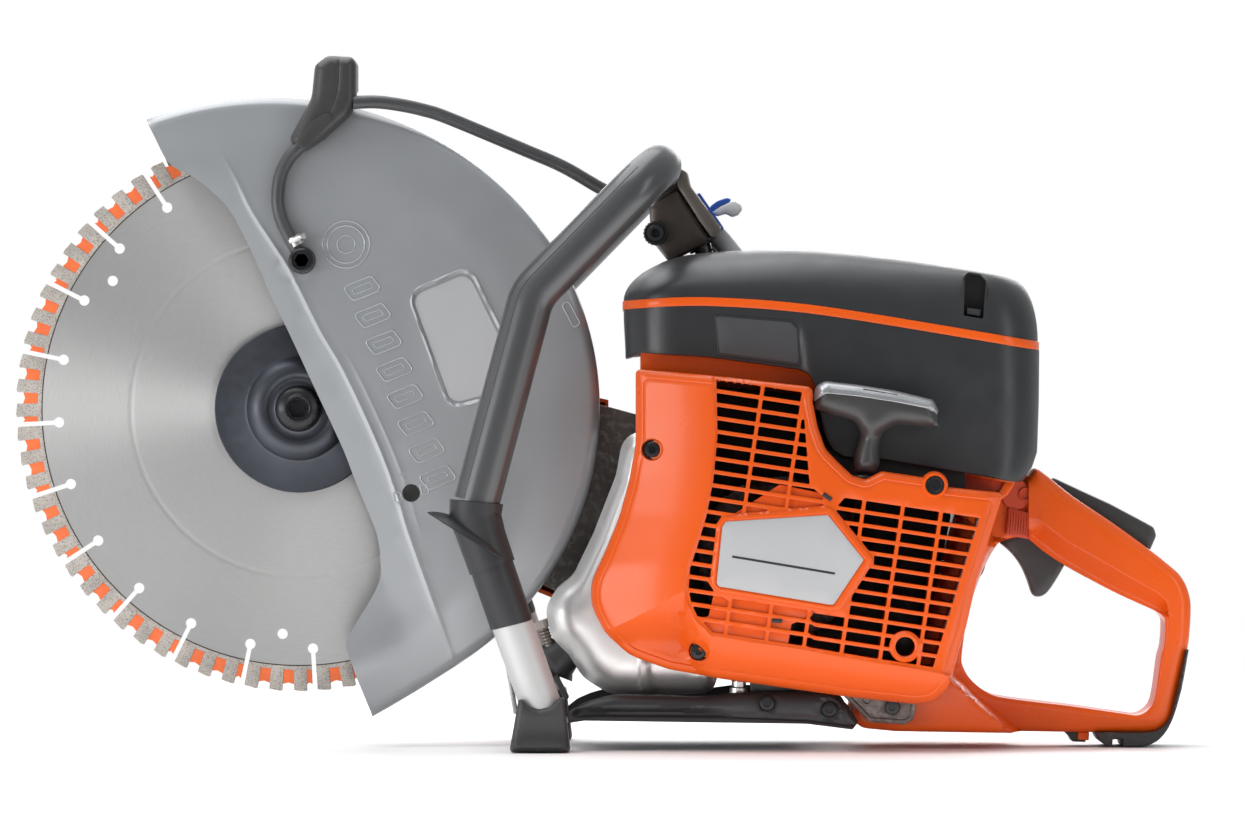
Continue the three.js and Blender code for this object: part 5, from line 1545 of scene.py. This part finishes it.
piece("valve_lever_stem", slab(STEM, 14, 26, 1.0, grid=4), "blue", body="tap_lever", replaces=["valve_lever"])
piece("valve_lever_paddle", slab(PADDLE, 12.5, 27.5, 1.8, grid=4), "pale", body="tap_lever")
inlet = curve([(52, 36, 318), (52, 50, 318.6), (54, 63, 318), (62, 76, 315.5), (73, 84.5, 306), (82, 86, 290),
    (87.5, 86, 262), (92, 86, 232), (101, 86, 209), (118, 86, 192), (140, 86, 180), (162, 86, 174.6),
    (184, 86, 172.4)], n=6)
piece("inlet_hose_tube", tube(inlet, 5.1, 22), "hose", replaces=["inlet_hose"])
rows = [(5.2, 182.5), (8.6, 182.5), (9.4, 184), (9.4, 188), (8.6, 189), (8.6, 191)]
for i in range(6):
    rows += [(10.9, 191.6 + i * 2.4), (11, 192.6 + i * 2.4), (10.3, 193.2 + i * 2.4), (10.3, 193.8 + i * 2.4)]
rows += [(9.2, 206.6), (9.2, 210), (8, 211), (7.4, 214), (9.0, 215.4), (9.0, 217.6), (7.2, 219), (7.2, 223),
    (6.6, 224.2), (4.2, 224.2), (4.2, 214), (0, 214)]
piece("water_coupling_body", turned(rows, (0, 86, 172), (1, 0, 0), sides=36), "black", replaces=["water_coupling"])
piece("inlet_hose_clip", tube([(178.6, 86, 172.6), (181.4, 86, 172.5)], 6.0, 24), "steel")


# ---- far side: belt guard, clutch cover, caps and knobs ----
BELT = rounded([(4.2, 213.4), (-30, 221, 60), (-108, 238, 60), (-160, 263.6, 50), (-187, 267, 59), (-246, 267, 59),
    (-246, 149, 59), (-177, 149, 40), (-26, 88, 40), (4.2, 77)])[::-1]
CLUTCH = rounded([(4.6, 206.5), (4.6, 77, 1), (40, 61, 40), (165, 61, 40), (165, 165, 40), (60, 199, 60)])


def dish_height(outline, y, ribs=()):
    def height(P):
        d = distance(P, outline)
        out = y - roll(d, 9, 8) - 1.6 * (1 - smooth((d - 4) / 1.5)) - 1.2 * (1 - smooth((np.abs(d - 15) - 1) / 1.2))
        for at, r, step in ribs:
            out = out - step * (1 - smooth((reach(P, at) - r) / 1.6))
        return out
    return height


def dish(name, outline, y, holes, ribs, material, node):
    shell = sheet(outline, dish_height(outline, y, ribs), 41.2, holes, side=FAR, grid=7, rings=(0.2, 0.8, 1.8, 3.2,
        4.6, 6, 8.5, 12.5, 14, 16, 17.6), lines=[(circle(*at, r, 40), True, (0, 0.8, 1.8)) for at, r, _ in ribs])
    piece(name, shell, material, replaces=[node], thickness=2.4, closed=False, angle=34)


slots = [rounded([(x, z, 1.6), (x + 4.2, z, 1.6), (x + 10.2, z + h, 1.6), (x + 6, z + h, 1.6)]) for x, z,
    h in ((104, 92, 46), (113, 90, 50), (122, 88, 52), (131, 90, 46), (95, 96, 38))]
dish("belt_guard_shell", BELT, 72, [], [(HUB, 34, 2.4), (HUB, 18, -1.6), ((-60, 156), 13, 1.6)], "orange",
    "belt_guard")
dish("clutch_cover_shell", CLUTCH, 75.6, slots, [((64, 130), 30, 1.8), ((64, 130), 12, -1.2)], "graphite",
    "clutch_cover")
far_ribs = Geo()
for a in range(0, 360, 60):
    c, s = math.cos(math.radians(a)), math.sin(math.radians(a))
    far_ribs += slab(rounded([(HUB[0] + r * c + w * s, HUB[1] + r * s - w * c, 0.6) for r, w in ((21, -1.2),
        (32, -1.2), (32, 1.2), (21, 1.2))])[::-1], 72.4, 68, 0.5, grid=6)
for k in range(5):
    x = -135 + 22 * k
    far_ribs += slab(rounded([(x, 226 - 9 * k, 1), (x + 3, 225 - 9 * k, 1), (x - 8, 188 - 9 * k, 1),
        (x - 11, 189 - 9 * k, 1)]), 73.4, 69, 0.8, grid=6)
piece("belt_guard_ribs", far_ribs, "orange")
far_screws = Geo()
for x, z, y in ((-236, 178, 70.6), (-230, 244, 70.6), (-150, 252, 70.6), (-118, 168, 70.6), (-12, 204, 70.4),
        (-12, 94, 70.4), (18, 192, 74), (18, 82, 74), (152, 148, 74), (152, 76, 74)):
    far_screws += socket_screw(x, y, z, 4.6, side=FAR)
piece("belt_guard_screws", far_screws, "bolt")
piece("hub_cap_nut", turned([(9.8, 68), (9.8, 74.4, 6), (8.4, 76.4), (0, 76.8)], AXLE, sides=36), "dark_steel")
FUEL = [(15, 46.3), (15, 56.6), (21.6, 56.6), (22, 57.2), (22, 66.4), (20.4, 69.2), (14, 69.8), (13.2, 68.4),
    (5, 68.2), (4.4, 70), (0, 70)]
cap = turned(FUEL, (194, 0, 38), sides=60)
cap += knurl(194, 38, 21.8, 58, 66.6, 1.1, 24, 8)
cap += slab(box(181, 35.4, 207, 40.6, 2)[::-1], 73, 68, 1.2, grid=5)
piece("fuel_cap_knurled", cap, "black", body="cap", replaces=["fuel_cap"])
bulb = turned([(10, 54.5), (10, 58.6), (9.6, 61), (8, 63.6), (5.4, 65.2), (2.6, 65.9), (0, 66)], (226, 0, 112),
    sides=40)
piece("purge_bulb_dome", bulb, "bulb", body="bulb", replaces=["purge_bulb"])
collar = turned([(10.6, 54), (10.6, 57.6), (11.2, 58.4), (13.4, 58.4), (14, 57.4), (14, 54), (10.6, 54)],
    (226, 0, 112), sides=40, caps=False)
piece("purge_bulb_collar", collar, "black")
knob = turned([(4, 72.6), (4, 76), (8.6, 77), (9, 78), (9, 84), (8.2, 85.6), (6, 86), (0, 85.4)], (236, 0, 200),
    sides=40)
knob += knurl(236, 200, 8.8, 78, 84.4, 0.7, 16)
piece("choke_knob_cap", knob, "blue", body="choke", replaces=["choke_knob"])
valve = turned([(0, 48), (4, 48), (4, 52), (5.4, 52.6), (6, 53.4), (6, 66.4), (5.2, 68.6), (3.6, 69.9), (2.2, 69.6),
    (0, 69.5)], (70, 0, 227), sides=36)
for k in range(3):
    valve += turned([(5.9, 56 + k * 3.4), (6.35, 56.4 + k * 3.4), (6.35, 57.4 + k * 3.4), (5.9, 57.8 + k * 3.4),
        (5.9, 56 + k * 3.4)], (70, 0, 227), sides=36, caps=False)
piece("decompression_button", valve, "blue", body="decompression", replaces=["decompression_valve"])
switch = slab(box(262.2, 138.2, 283.8, 145.8, 1.6)[::-1], 28.2, 24.5, 1.0, grid=4)
for k in range(5):
    switch += slab(box(267 + 2.6 * k, 139.4, 268.2 + 2.6 * k, 144.6, 0.4)[::-1], 28.9, 27.4, 0.4, grid=4)
piece("stop_switch_slider", switch, "black", body="stop", replaces=["stop_switch"])
piece("clutch_cover_backing", slab(rounded([(90, 84, 3), (90, 142, 3), (148, 150, 3), (148, 84, 3)]), 73.0, 72.2, 0.2,
    grid=12), "black")


# ---- crankcase with its lug ----
def on_engine(points):
    a = math.radians(7)
    return [(109 + x * math.cos(a) + z * math.sin(a), 117 - x * math.sin(a) + z * math.cos(a), *r) for x, z,
        *r in points]


CASE_LOW = [(44, 42, 3), (50, 10, 20), (56, -40, 20), (30, -72, 14), (-20, -72, 20), (-38, -40, 30), (-38, 42, 3)]
case_bore = circle(109, 117, 10.8, 36)
case = slab(rounded(on_engine(CASE_LOW))[::-1], -50, -27.4, 2, holes=[case_bore], grid=12)
well = [(33.6 * math.sin(t), -33.6 * math.cos(t)) for t in np.radians(np.linspace(-125, 125, 40))]
case += slab(rounded([(*p, 0) for p in on_engine([(-31, 42), (-31, 24), *well, (31, 24), (31, 42)])] + [(*p[:2], 2)
    for p in on_engine(CASE_LOW)])[::-1], -27.4, 26.5, 0.6, grid=12)
LUG = rounded([(128, 56, 3), (136, 41, 8), (146.4, 34, 4), (157.5, 22.9, 3), (163.4, 16.7, 3), (185.5, 15, 4),
    (190.8, 18.2, 4), (192.1, 27.5, 3), (188, 48, 6), (166, 60, 6)])


LUG_DIMPLE = (162.2, 30.5)


def lug_height(P):
    edge = distance(P, LUG)
    drop = roll(edge, 0.8, 0.8) + 0.9 * smooth((edge - 2.3) / 0.7)
    drop = drop + 0.7 * (1 - smooth((reach(P, LUG_DIMPLE) - 2.4) / 0.5))
    return -61.5 + drop


case += relief(LUG, lug_height, -56.5, grid=4, rings=(0.2, 0.8, 1.6, 2.3, 2.7, 3.1, 4),
    lines=[(circle(*LUG_DIMPLE, 2.6, 20), True, (-0.3, 0.3))])
case += slab(rounded(on_engine([(8, -54, 2), (36, -54, 2), (36, -70, 2), (8, -70, 2)]))[::-1], -58, -40, 0.5, grid=8)
piece("crankcase_casting", case, "cast_dark", replaces=["crankcase"])
piece("crankcase_lug_screw", socket_screw(177.7, -61.4, 25.5, 4.7), "black_steel")
mount = slab(rounded([(91, 34, 2), (91, 50, 2), (140, 46, 2), (140, 36, 2)]), -60, -50, 1, grid=8)
piece("engine_mount_block", mount, "black")
piece("engine_mount_stud", turned([(0, 0), (4.6, 0), (5.6, 1), (5.6, 5), (4.4, 6), (4.4, 9), (5.2, 10), (5.2, 18),
    (0, 18)], (83.8, -55, 32), (0.05, 0, 1), sides=32), "steel")

# ---- the CAD nodes that are shown as they are ----
CAD_BEVEL, CAD_CREASE = 0.0005, 35  # metres, and the angle in degrees above which an edge is kept sharp
CAD_FINISH = {"grip_plastic": "grip", "black_plastic": "black", "blade": "steel"}  # where the names differ
for node_name, node in frame["nodes"].items():
    if node.hide_render:
        continue
    own = node.data.materials[0].name.split(".")[0] if node.data.materials else "cast"
    key = CAD_FINISH.get(own, own if own in M else "cast")
    if node_name == "cutting_arm":
        key = "cast_dark"
    for material_slot in node.material_slots:
        material_slot.material = M[key]
    weld = node.modifiers.new("weld", "WELD")
    weld.merge_threshold = 1e-5
    flat = node.modifiers.new("flat", "DECIMATE")
    flat.decimate_type = "DISSOLVE"
    flat.angle_limit = math.radians(1)
    bevel = node.modifiers.new("bevel", "BEVEL")
    bevel.width, bevel.segments = CAD_BEVEL, 2
    bevel.limit_method, bevel.angle_limit = "ANGLE", math.radians(CAD_CREASE)
    bevel.harden_normals = True
    shade(node.data, CAD_CREASE)

# ---- floor ----
FLOOR_RADIUS, FLOOR_RINGS, SPOKES = 1.6, 24, 96
FLOOR_DROP = 0.0006  # the floor lies this far under the feet
FADE_FROM, FADE_TO = 0.55, 1.5  # the floor melts into the background between these radii
turns = [2 * math.pi * j / SPOKES for j in range(SPOKES)]
floor_points = [(0, 0, 0)]
floor_faces = [(0, 1 + j, 1 + (j + 1) % SPOKES) for j in range(SPOKES)]
for i in range(FLOOR_RINGS):
    ring_r = FLOOR_RADIUS * ((i + 1) / FLOOR_RINGS)
    floor_points += [(ring_r * math.cos(t), ring_r * math.sin(t), 0) for t in turns]
    if i < FLOOR_RINGS - 1:
        a = 1 + i * SPOKES
        floor_faces += [(a + j, a + SPOKES + j, a + SPOKES + (j + 1) % SPOKES, a + (j + 1) % SPOKES)
            for j in range(SPOKES)]
floor_mesh = bpy.data.meshes.new("floor")
floor_mesh.from_pydata(floor_points, [], floor_faces)
floor = bpy.data.objects.new("floor", floor_mesh)
scene.collection.objects.link(floor)
floor.location = (0, 0, -FLOOR_DROP)
n = Nodes("floor")
n.link(n.mix(n.ramp(n.noise(3), 0, 1), (0.86, 0.86, 0.86), (0.9, 0.9, 0.9)), "Base Color")
n.shader.inputs["Roughness"].default_value = 0.6
n.shader.inputs["Specular IOR Level"].default_value = 0.2
span = n.new("VectorMath", {0: n.place}, operation="LENGTH").outputs["Value"]
n.link(n.ramp(span, 1, 0, FADE_FROM, FADE_TO), "Alpha")
floor_mesh.materials.append(n.material)
